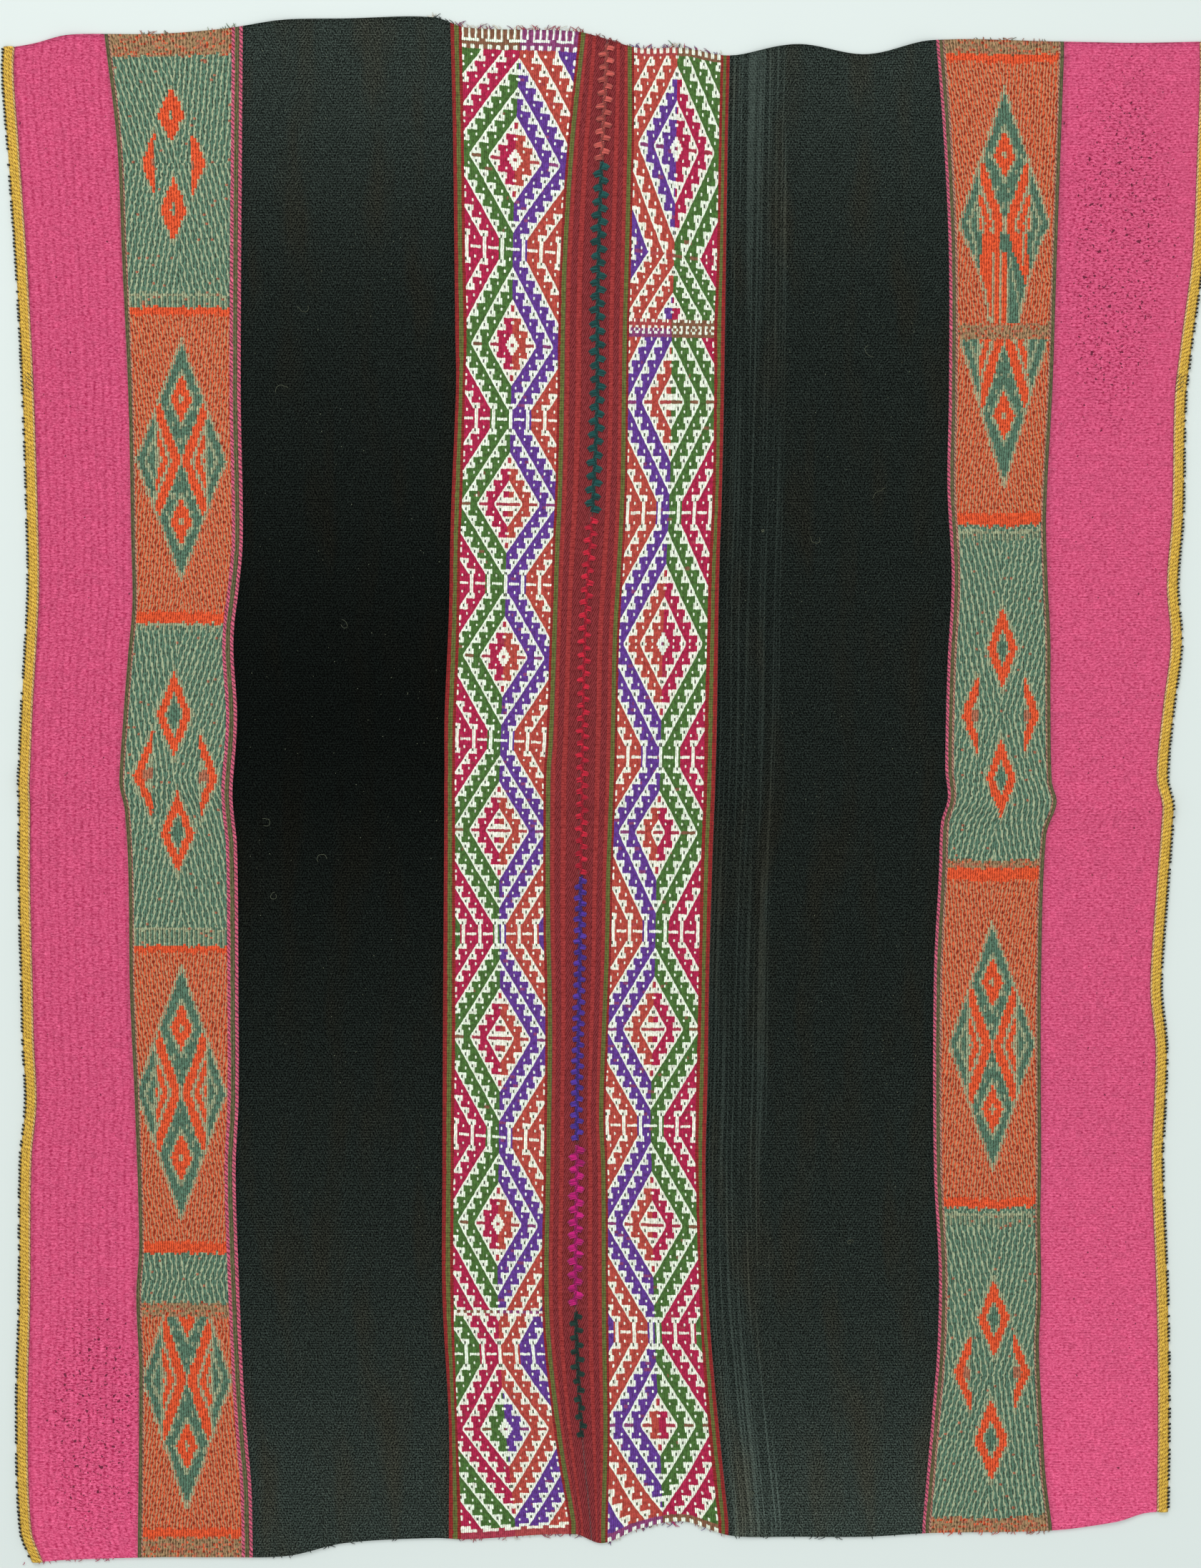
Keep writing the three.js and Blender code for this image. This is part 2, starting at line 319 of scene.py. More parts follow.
# From this level down the dark green leaves are small and wide apart
SMALL_LEAVES_FROM = 1930

# Columns each side of a pattern band's middle, and from one lattice line to the next
CHART_HALF = 27
LINE_REPEAT = 10

# Levels in the photo where the bands change their colours or start anew
LEFT_JOIN = 1836
RIGHT_JOIN = 460
RIGHT_FIRST_CROSSING = 359
DARK_BRAID_LEVEL = 535

# What each colour of yarn is called, and its colour as seen; three entries are no yarn: the edgings' pale
# inner colour is painted highlight, and the pit and cord shade colours are painted shade
DYES = {
    "pink": (0.8, 0.27, 0.44),
    "yellow": (0.95, 0.76, 0.30),
    # painted highlight on the edgings' inner side, not a yarn
    "peach": (0.97, 0.82, 0.56),
    "black": (0.086, 0.102, 0.094),
    "orange_red": (0.87, 0.3, 0.155),
    "soft_orange": (0.80, 0.29, 0.155),
    "side_green": (0.33, 0.415, 0.335),
    "sage": (0.66, 0.69, 0.56),
    "outline": (0.61, 0.58, 0.45),
    "olive": (0.41, 0.4, 0.2),
    "olive_line": (0.38, 0.34, 0.22),
    "lilac": (0.8, 0.33, 0.42),
    "red": (0.585, 0.15, 0.15),
    "twill_red": (0.51, 0.135, 0.15),
    "crimson": (0.71, 0.13, 0.28),
    "purple": (0.4, 0.22, 0.55),
    "green": (0.3, 0.42, 0.2),
    "orange": (0.74, 0.28, 0.24),
    "white": (0.95, 0.915, 0.85),
    "eye": (0.28, 0.28, 0.23),
    "mixed": (0.66, 0.27, 0.30),
    "muted_orange": (0.67, 0.37, 0.27),
    "brown_mix": (0.55, 0.42, 0.29),
    "plum": (0.50, 0.22, 0.40),
    "salmon": (0.82, 0.38, 0.35),
    "teal": (0.11, 0.33, 0.32),
    "seam_crimson": (0.82, 0.14, 0.24),
    "violet": (0.35, 0.22, 0.64),
    "magenta": (0.82, 0.12, 0.50),
    "dark_green": (0.12, 0.24, 0.21),
    "ink": (0.13, 0.12, 0.10),
    # painted shade in the pink's holes, not a yarn
    "pit": (0.36, 0.07, 0.17),
    "cord_shade": (0.36, 0.13, 0.17),
    "edge_tick": (0.68, 0.46, 0.38),
    "floor": (0.861, 0.887, 0.881),
}

# Painted light down the cloth: how bright the black and the pink are painted at each level, brighter
# toward the ends as a haze of light: (y, factor)
LEFT_BLACK_PAINTED_LIGHT = [(30, 3.9), (120, 3.5), (400, 1.75), (700, 1.0), (1000, 0.52), (1300, 1.0),
                   (1600, 1.75), (1900, 2.85), (2150, 4.3)]
RIGHT_BLACK_PAINTED_LIGHT = [(60, 3.6), (400, 2.05), (700, 1.65), (1300, 1.65), (1600, 2.1), (1900, 3.0),
                    (2150, 5.4)]
PINK_PAINTED_LIGHT = [(40, 1.07), (400, 1.06), (1000, 1.08), (1500, 1.10), (1900, 1.18), (2150, 1.26)]


class ClothSizes(bpy.types.PropertyGroup):
    """Sizes of the weave and its yarns"""

    pink_column: bpy.props.FloatProperty(
        name="Pink column",
        description="Width of one column of ribs in the pink",
        default=0.0065,
        unit="LENGTH",
    )
    strand: bpy.props.FloatProperty(
        name="Strand",
        description="From one warp strand to the next in the side bands",
        default=0.0021,
        unit="LENGTH",
    )
    rib_pitch: bpy.props.FloatProperty(
        name="Rib pitch",
        description="From one weft rib to the next",
        default=0.00198,
        unit="LENGTH",
    )
    float_relief: bpy.props.FloatProperty(
        name="Float relief",
        description="How far the white pattern floats stand above the ground",
        default=0.00022,
        unit="LENGTH",
    )
    yarn: bpy.props.FloatProperty(
        name="Yarn",
        description="Thickness of one seam strand",
        default=0.0013,
        unit="LENGTH",
    )


def colour_of(name, shown, description):
    """A property for the colour of one of the named dyes."""
    return bpy.props.FloatVectorProperty(
        name=shown, description=description, default=DYES[name], size=3,
        min=0.0, max=1.0, subtype="COLOR_GAMMA")


class ClothColours(bpy.types.PropertyGroup):
    """Colours of the main yarns"""

    pink: colour_of("pink", "Pink", "Wide outer stripes")
    black: colour_of("black", "Black", "Wide middle stripes")
    yellow: colour_of("yellow", "Yellow", "Edgings")
    orange_red: colour_of("orange_red", "Orange red", "Side bands' warm yarn")
    side_green: colour_of("side_green", "Grey green", "Side bands' cool yarn")
    sage: colour_of("sage", "Sage", "Side bands' pale floats and outlines")
    red: colour_of("red", "Red", "Ribbed stripes by the seam")
    crimson: colour_of("crimson", "Crimson", "Pattern bands' crimson ground")
    purple: colour_of("purple", "Purple", "Pattern bands' purple ground")
    green: colour_of("green", "Green", "Pattern bands' green ground")
    orange: colour_of("orange", "Orange", "Pattern bands' orange ground")
    white: colour_of("white", "White", "Pattern bands' floats")


def linear(rgb):
    """The linear value of a colour as seen."""
    c = np.asarray(rgb, dtype=float)
    return np.where(c <= 0.04045, c / 12.92, ((c + 0.055) / 1.055) ** 2.4)


def dye(name):
    """The linear colour of a named dye."""
    chosen = getattr(bpy.context.scene.cloth_colours, name, None)
    return linear(DYES[name] if chosen is None else tuple(chosen))


def paint(name):
    """The colour of a named dye, as a shader takes it."""
    return tuple(dye(name)) + (1.0,)


def smooth_table(rows, column, places):
    """One column of a table of stations, on a smooth curve, at an array of places."""
    ordered = np.array(sorted(rows), dtype=float)
    keys, values = ordered[:, 0], ordered[:, column]
    before = np.maximum(np.arange(len(keys)) - 1, 0)
    after = np.minimum(np.arange(len(keys)) + 1, len(keys) - 1)
    slopes = (values[after] - values[before]) / (keys[after] - keys[before])
    held = np.clip(places, keys[0], keys[-1])
    i = np.clip(np.searchsorted(keys, held, side="right") - 1, 0, len(keys) - 2)
    span = keys[i + 1] - keys[i]
    t = (held - keys[i]) / span
    rise = t * t * (3 - 2 * t)
    start_pull = t * (1 - t) ** 2 * span * slopes[i]
    end_pull = t * t * (1 - t) * span * slopes[i + 1]
    return values[i] * (1 - rise) + values[i + 1] * rise + start_pull - end_pull


def x_at(pixel_x):
    """Metres across the cloth of a photo pixel."""
    return (np.asarray(pixel_x, dtype=float) - PIXEL_X_AT_ORIGIN) * METRES_PER_PIXEL


def y_at(pixel_y):
    """Metres along the cloth of a photo pixel."""
    return (PIXEL_Y_AT_ORIGIN - np.asarray(pixel_y, dtype=float)) * METRES_PER_PIXEL


def pixel_y(y):
    """The photo pixel of a level on the cloth."""
    return PIXEL_Y_AT_ORIGIN - np.asarray(y, dtype=float) / METRES_PER_PIXEL


def station_line(column):
    """A line down the cloth from the length stations, in metres of x for y."""
    return lambda y: smooth_table(LENGTH_STATIONS, column, np.asarray(y) * 1000) / 1000


def pixel_line(rows, shift=0.0):
    """A line down the cloth from a table of photo pixels, in metres of x for y."""
    return lambda y: x_at(smooth_table(rows, 1, pixel_y(y)) + shift)


def between(first, second, share):
    """A line part of the way from one line to another."""
    return lambda y: first(y) * (1 - share) + second(y) * share


seam_line = station_line(2)
left_edge_line = station_line(1)
right_edge_line = station_line(3)


def left_selvedge(y):
    """Where the left panel starts."""
    return left_edge_line(y) + EDGING_WIDTH + PIECE_GAP


def right_selvedge(y):
    """Where the right panel ends."""
    return right_edge_line(y) - EDGING_WIDTH - PIECE_GAP


def left_seam_side(y):
    """Where the left panel meets the seam."""
    return seam_line(y) - PIECE_GAP / 2


def right_seam_side(y):
    """Where the right panel meets the seam."""
    return seam_line(y) + PIECE_GAP / 2


def top_end(x):
    """The top end of the weaving at x."""
    return smooth_table(END_STATIONS, 1, np.asarray(x) * 1000) / 1000


def bottom_end(x):
    """The bottom end of the weaving at x."""
    return smooth_table(END_STATIONS, 2, np.asarray(x) * 1000) / 1000


def soft_bump(distance):
    """1 in the middle, falling to 0 at a distance of 1."""
    return np.where(distance >= 1, 0.0, 0.5 + 0.5 * np.cos(np.pi * np.minimum(distance, 1)))


def lift(x, y):
    """How far the underside of the cloth stands off the floor, in metres."""
    x = np.asarray(x, dtype=float) * 1000
    y = np.asarray(y, dtype=float) * 1000
    share = (x - CREASE_LEFT[0]) / (CREASE_RIGHT[0] - CREASE_LEFT[0])
    crease_y = CREASE_LEFT[1] + share * (CREASE_RIGHT[1] - CREASE_LEFT[1])
    height = CREASE_HEIGHT * soft_bump(np.abs(y - crease_y) / CREASE_HALF_WIDTH)
    for rx, ry, half_length, half_width, rise, turn in RIPPLES:
        a = math.radians(turn)
        dx, dy = x - rx, y - ry
        across = (dx * math.cos(a) + dy * math.sin(a)) / half_width
        along = (dy * math.cos(a) - dx * math.sin(a)) / half_length
        height = np.maximum(height, rise * soft_bump(np.hypot(across, along)))
    return height / 1000


def fall(t):
    """1 at an end of the cloth, falling smoothly to 0 one reach inward."""
    t = np.clip(t, 0, 1)
    return (1 - t) ** 2 * (1 + 2 * t)


HEM_REACH = 0.045


def row_points(x_lines, levels, tilt=None):
    """Points of a grid: x_lines are the lines down the cloth, levels the rows' nominal y."""
    levels = np.asarray(levels, dtype=float)
    x = np.stack([line(levels) for line in x_lines])
    y = np.tile(levels, (len(x_lines), 1))
    if tilt is not None:
        middle = x.mean(axis=0)
        slope = -smooth_table(tilt, 1, pixel_y(levels))
        y = y + (x - middle) * slope
    top, bottom = levels.max(), levels.min()
    for _ in range(2):
        end_shift = (top_end(x) - top) * fall((top - levels) / HEM_REACH)
        foot_shift = (bottom_end(x) - bottom) * fall((levels - bottom) / HEM_REACH)
        if tilt is not None:
            inner = (1 - fall((top - levels) / HEM_REACH)) * (1 - fall((levels - bottom) / HEM_REACH))
            moved = levels + (y - levels) * inner + end_shift + foot_shift
        else:
            moved = levels + end_shift + foot_shift
        x = np.stack([line(moved[i]) for i, line in enumerate(x_lines)])
    return x, moved


def sheet_mesh(name, x, y, cells, warp):
    """A closed thin sheet from a grid of points, with a colour for each cell.

    x and y have one row of points down each line; each of the cells' arrays has
    one value less each way, and their relief is metres above the sheet's top.
    """
    columns, rows = x.shape[0] - 1, x.shape[1] - 1
    cell_top, cell_under, relief, weave, ground = cells
    base = lift(x, y)
    padded = np.pad(relief, 1, mode="edge")
    point_relief = (padded[:-1, :-1] + padded[1:, :-1] + padded[:-1, 1:] + padded[1:, 1:]) / 4
    over = np.stack([x, y, base + THICKNESS - WEAVE_SINK + point_relief], axis=-1)
    under = np.stack([x, y, base], axis=-1)
    verts = np.concatenate([over.reshape(-1, 3), under.reshape(-1, 3)])
    count = (columns + 1) * (rows + 1)
    i, j = np.meshgrid(np.arange(columns), np.arange(rows), indexing="ij")
    a = i * (rows + 1) + j
    b = (i + 1) * (rows + 1) + j
    top_quads = np.stack([a, a + 1, b + 1, b], axis=-1).reshape(-1, 4)
    if y[0, 0] < y[0, -1]:
        top_quads = top_quads[:, ::-1]
    under_quads = top_quads[:, ::-1] + count
    jj, ii = np.arange(rows), np.arange(columns) * (rows + 1)
    last = columns * (rows + 1)
    rim = np.concatenate([
        np.stack([start, end, end + count, start + count], axis=-1)
        for start, end in ((jj, jj + 1), (last + jj + 1, last + jj),
                           (ii + rows + 1, ii), (ii + rows, ii + 2 * rows + 1))])
    if y[0, 0] < y[0, -1]:
        rim = rim[:, ::-1]
    quads = np.concatenate([top_quads, under_quads, rim])
    plain = weave * np.array([1.0, 1.0, 0.0, 1.0])
    colours = np.concatenate([cell_top.reshape(-1, 3), cell_under.reshape(-1, 3), around(cell_top)])
    weaves = np.concatenate([weave.reshape(-1, 4), plain.reshape(-1, 4), around(plain)])
    unsplit = np.concatenate([cell_under, np.zeros(cell_under.shape[:2] + (1,))], axis=2)
    grounds = np.concatenate([ground.reshape(-1, 4), unsplit.reshape(-1, 4), around(unsplit)])
    flat_warp = np.concatenate([warp.reshape(-1, 2), warp.reshape(-1, 2)])
    gi, gj = np.meshgrid(np.arange(columns + 1), np.arange(rows + 1), indexing="ij")
    stitches = np.tile(np.stack([gi, gj], axis=-1).reshape(-1, 2), (2, 1))
    mesh = bpy.data.meshes.new(name)
    mesh.vertices.add(len(verts))
    mesh.vertices.foreach_set("co", verts.ravel())
    mesh.loops.add(quads.size)
    mesh.loops.foreach_set("vertex_index", quads.ravel().astype(np.int32))
    mesh.polygons.add(len(quads))
    mesh.polygons.foreach_set("loop_start", np.arange(0, quads.size, 4, dtype=np.int32))
    mesh.polygons.foreach_set("use_smooth", np.ones(len(quads), dtype=bool))
    mesh.update(calc_edges=True)
    for layer, values in (("Dye", opaque(colours)), ("Weave", weaves), ("Ground", grounds)):
        colour_corners(mesh, layer, np.repeat(values, 4, axis=0))
    map_corners(mesh, "Warp", flat_warp[quads.ravel()])
    map_corners(mesh, "Stitch", stitches[quads.ravel()])
    return mesh


def around(cells):
    """The cells along the four edges of a sheet, in the order of its rim."""
    kinds = cells.shape[2]
    edges = (cells[0, :], cells[-1, :], cells[:, 0], cells[:, -1])
    return np.concatenate([edge.reshape(-1, kinds) for edge in edges])


def opaque(colours):
    """A list of colours with an alpha of 1."""
    return np.concatenate([colours, np.ones((len(colours), 1))], axis=1)


def colour_corners(mesh, name, values):
    """Gives each corner of a mesh its own value."""
    layer = mesh.color_attributes.new(name=name, type="FLOAT_COLOR", domain="CORNER")
    layer.data.foreach_set("color", values.astype(np.float32).ravel())


def map_corners(mesh, name, places):
    """Gives each corner of a mesh its place, on the cloth or in its chart."""
    layer = mesh.uv_layers.new(name=name)
    layer.data.foreach_set("uv", places.astype(np.float32).ravel())


def place(mesh, name, material, slot, *nodes):
    """Makes a piece of a mesh: it rides on the root and stands for its nodes."""
    piece = bpy.data.objects.new(name, mesh)
    bpy.context.scene.collection.objects.link(piece)
    mesh.materials.append(material)
    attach(piece, "root")
    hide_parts(*nodes)


class Nodes:
    """A short way to lay out a material's nodes."""

    def __init__(self, name):
        self.material = bpy.data.materials.new(name)
        self.material.use_nodes = True
        self.tree = self.material.node_tree
        self.shader = self.tree.nodes["Principled BSDF"]

    def node(self, kind, values=None, **settings):
        """A node with its settings, and its inputs joined or set."""
        made = self.tree.nodes.new(kind)
        for key, value in settings.items():
            setattr(made, key, value)
        for key, value in (values or {}).items():
            if isinstance(value, bpy.types.NodeSocket):
                self.tree.links.new(value, made.inputs[key])
            else:
                made.inputs[key].default_value = value
        return made

    def math(self, operation, a, b=0.0, c=0.0):
        """A sum of one, two or three values."""
        return self.node("ShaderNodeMath", {0: a, 1: b, 2: c}, operation=operation).outputs[0]

    def wave(self, phase):
        """A smooth wave from 0 to 1 that repeats each whole number of the phase."""
        turns = self.math("MULTIPLY", phase, 2 * math.pi)
        return self.math("MULTIPLY_ADD", self.math("SINE", turns), 0.5, 0.5)

    def edge(self, value):
        """0 halfway between whole numbers, rising to 1 at each of them."""
        middle = self.math("SUBTRACT", self.math("FRACT", value), 0.5)
        return self.math("MULTIPLY", self.math("ABSOLUTE", middle), 2.0)

    def ramp(self, value, low, high):
        """0 where a value is low, rising smoothly to 1 where it is high."""
        return self.node("ShaderNodeMapRange", {"Value": value, "From Min": low, "From Max": high},
                         interpolation_type="SMOOTHSTEP").outputs[0]

    def total(self, start, *parts):
        """A sum of a start and of values, each with its weight."""
        for value, weight in parts:
            start = self.math("MULTIPLY_ADD", value, weight, start)
        return start

    def tones(self, colour, share, dark, light):
        """A colour between its dark and its light tone, each given as a factor of it."""
        factor = self.blend("MIX", share, tuple(dark) + (1.0,), tuple(light) + (1.0,))
        return self.blend("MULTIPLY", 1.0, colour, factor)

    def noise(self, vector, scale, detail=2.0, roughness=0.5):
        """Smooth noise from 0 to 1."""
        made = self.node("ShaderNodeTexNoise", {
            "Vector": vector, "Scale": scale, "Detail": detail, "Roughness": roughness})
        return made.outputs["Fac"]

    def blend(self, kind, share, a, b):
        """Two colours mixed."""
        made = self.tree.nodes.new("ShaderNodeMix")
        made.data_type = "RGBA"
        made.blend_type = kind
        for socket, value in ((made.inputs[0], share), (made.inputs[6], a), (made.inputs[7], b)):
            if isinstance(value, bpy.types.NodeSocket):
                self.tree.links.new(value, socket)
            else:
                socket.default_value = value
        return made.outputs[2]

    def grey(self, value):
        """A value as a colour."""
        return self.node("ShaderNodeCombineColor", {0: value, 1: value, 2: value}).outputs[0]

    def finish(self, colour, height, roughness=0.88, sheen=0.2, strength=0.7,
               specular=0.15, distance=0.001):
        """Joins the colour and bump to the shader of a soft matt wool."""
        bump = self.node("ShaderNodeBump", {
            "Height": height, "Distance": distance, "Strength": strength})
        self.tree.links.new(colour, self.shader.inputs["Base Color"])
        self.tree.links.new(bump.outputs[0], self.shader.inputs["Normal"])
        for key, value in (("Roughness", roughness), ("Specular IOR Level", specular),
                           ("Sheen Weight", sheen), ("Sheen Roughness", 0.45)):
            self.shader.inputs[key].default_value = value
        return self.material


class Wool(Nodes):
    """A woven material, begun with its dyes, the shares of its weave and its places."""

    def __init__(self, name):
        super().__init__(name)
        self.dye = self.node("ShaderNodeAttribute", attribute_name="Dye").outputs["Color"]
        ground = self.node("ShaderNodeAttribute", attribute_name="Ground")
        self.ground, self.corner = ground.outputs["Color"], ground.outputs["Alpha"]
        weave = self.node("ShaderNodeAttribute", attribute_name="Weave")
        kinds = self.node("ShaderNodeSeparateColor", {0: weave.outputs["Color"]})
        self.first, self.second, self.floats = kinds.outputs[0], kinds.outputs[1], kinds.outputs[2]
        self.slant = self.math("MULTIPLY_ADD", weave.outputs["Alpha"], 2.0, -1.0)
        self.warp = self.node("ShaderNodeUVMap", uv_map="Warp").outputs[0]
        ways = self.node("ShaderNodeSeparateXYZ", {0: self.warp})
        self.u, self.v = ways.outputs[0], ways.outputs[1]
        stitch = self.node("ShaderNodeUVMap", uv_map="Stitch").outputs[0]
        counts = self.node("ShaderNodeSeparateXYZ", {0: stitch})
        self.column, self.row = counts.outputs[0], counts.outputs[1]

    def lumps(self, across, along, detail=2.0):
        """Noise of so many lumps a metre across and along the cloth."""
        scaled = self.node("ShaderNodeMapping", {"Vector": self.warp, "Scale": (across, along, 1.0)})
        return self.noise(scaled.outputs[0], 1.0, detail)


def pink_wool():
    """Pink: weft ribs, in columns with wandering grooves or straight across, and pits; the ribs carry
    painted highlight, the grooves, pits and holes painted shade.
    """
    n = Wool("pink_wool")
    sizes = bpy.context.scene.cloth_sizes
    u = n.total(n.u, (n.lumps(70.0, 16.0), 0.0075), (n.lumps(420.0, 260.0), 0.0016))
    columns = n.math("DIVIDE", u, sizes.pink_column)
    groove = n.ramp(n.edge(columns), 0.50, 1.0)
    broken = n.math("SUBTRACT", 1.0, n.second)
    groove = n.math("MULTIPLY", groove, broken)
    shift = n.math("MULTIPLY", n.math("MULTIPLY", n.math("FLOOR", columns), 0.41), broken)
    v = n.math("MULTIPLY_ADD", n.lumps(260.0, 200.0), 0.0026, n.v)
    rib = n.wave(n.math("ADD", n.math("DIVIDE", v, sizes.rib_pitch), shift))
    whole = n.math("MULTIPLY_ADD", n.second, -0.16, 0.35)
    rib = n.math("MULTIPLY", rib, n.ramp(n.lumps(310.0, 260.0, 1.0), whole, 0.62))
    lumps = n.lumps(430.0, 620.0, 3.0)
    fibre = n.lumps(1500.0, 1100.0, 2.0)
    knots = n.lumps(360.0, 700.0, 1.0)
    pits = n.math("MULTIPLY", n.ramp(knots, 0.58, 0.66), n.floats)
    holes = n.math("MULTIPLY_ADD", n.floats, 0.13, n.lumps(290.0, 250.0, 1.0))
    holes = n.ramp(holes, 0.785, 0.825)
    pills = n.math("MULTIPLY", n.ramp(knots, 0.40, 0.30), n.math("MULTIPLY_ADD", n.floats, 0.5, 0.3))
    # Painted light in the share: the ribs add painted highlight, the grooves and pits painted shade;
    # lumps, fibre and pills are the wool's own mottling. The dark tone below is the painted shade, the
    # light tone the painted highlight.
    share = n.total(-0.98, (rib, 0.28), (groove, -0.14), (lumps, 1.75), (fibre, 1.00),
                    (pits, -0.65), (pills, 0.45))
    colour = n.tones(n.dye, share, (0.60, 0.24, 0.44), (1.34, 2.3, 1.72))
    # Painted shade: the holes take the dark pit colour
    colour = n.blend("MIX", n.math("MULTIPLY", holes, 0.88), colour, paint("pit"))
    height = n.total(0.0, (rib, 0.40), (groove, -0.30), (lumps, 0.55), (fibre, 0.25), (pits, -0.6),
                     (holes, -0.8))
    return n.finish(colour, height)


def black_wool():
    """Black: fine herringbone in lengthwise zones, with specks, streaks and brown yarn; the herringbone
    strokes and the ribs are painted lighter as highlight.
    """
    n = Wool("black_wool")
    wander = n.lumps(210.0, 120.0)
    zone = n.math("FLOOR", n.math("DIVIDE", n.total(n.u, (n.lumps(60.0, 20.0), 0.012)), 0.0195))
    turn = n.math("MULTIPLY_ADD", n.math("PINGPONG", zone, 1.0), 2.0, -1.0)
    rise = n.math("MULTIPLY", n.math("DIVIDE", n.v, 0.0042), turn)
    stroke = n.wave(n.total(rise, (n.u, 1 / 0.0021), (wander, 2.0)))
    lumps = n.lumps(820.0, 760.0, 3.0)
    fibre = n.lumps(1700.0, 1500.0, 2.0)
    rib = n.wave(n.math("DIVIDE", n.v, 0.0019))
    specks = n.ramp(n.lumps(600.0, 460.0, 1.0), 0.70, 0.78)
    streak = n.math("MULTIPLY", n.ramp(n.lumps(520.0, 3.0, 2.0), 0.50, 0.62), n.second)
    # Painted highlight: the strokes and the ribs lighten the share; lumps and fibre are mottling, specks
    # and streaks the wool's own.
    share = n.total(-1.70, (stroke, 0.24), (rib, 0.24), (lumps, 2.20), (fibre, 1.25), (specks, 0.6),
                    (streak, 0.38))
    warm = n.blend("MIX", n.ramp(n.lumps(34.0, 7.0, 2.0), 0.45, 0.75),
                   (0.95, 1.0, 1.0, 1.0), (1.18, 0.98, 0.86, 1.0))
    body = n.tones(n.dye, share, (0.12, 0.12, 0.12), (2.9, 2.8, 2.75))
    colour = n.blend("MULTIPLY", 1.0, body, warm)
    height = n.total(0.0, (stroke, 0.35), (lumps, 0.45), (fibre, 0.3))
    return n.finish(colour, height, 0.95, 0.0, 0.5, 0.03)


def red_wool():
    """Red: weft-ribbed stripes and stripes of steep twill, painted lighter on the rib and twill crests as
    highlight and darker along the stripes' borders as shade.
    """
    n = Wool("red_wool")
    sizes = bpy.context.scene.cloth_sizes
    wander = n.lumps(110.0, 70.0)
    rib = n.wave(n.total(0.0, (n.v, 1 / sizes.rib_pitch), (wander, 1.6)))
    rise = n.math("DIVIDE", n.v, -0.0040)
    twill = n.wave(n.total(rise, (n.u, 1 / 0.00168), (wander, 1.1)))
    border = n.ramp(n.edge(n.math("MULTIPLY", n.column, 0.5)), 0.80, 1.0)
    lumps = n.lumps(420.0, 330.0, 3.0)
    fibre = n.lumps(1500.0, 1000.0, 2.0)
    weave = n.total(0.0, (n.math("MULTIPLY", rib, n.first), 0.30),
                    (n.math("MULTIPLY", twill, n.second), 0.85))
    # Painted light in the share: the rib and twill crests lighten as painted highlight, the borders
    # darken as painted shade; the twill stripes' darkness, lumps and fibre are the wool's own.
    share = n.total(-0.70, (weave, 1.0), (n.second, -0.30), (lumps, 1.45), (fibre, 0.9), (border, -0.12))
    colour = n.tones(n.dye, share, (0.42, 0.16, 0.22), (1.34, 2.4, 2.3))
    height = n.total(0.0, (weave, 0.7), (lumps, 0.35), (fibre, 0.25), (border, -0.3))
    return n.finish(colour, height)


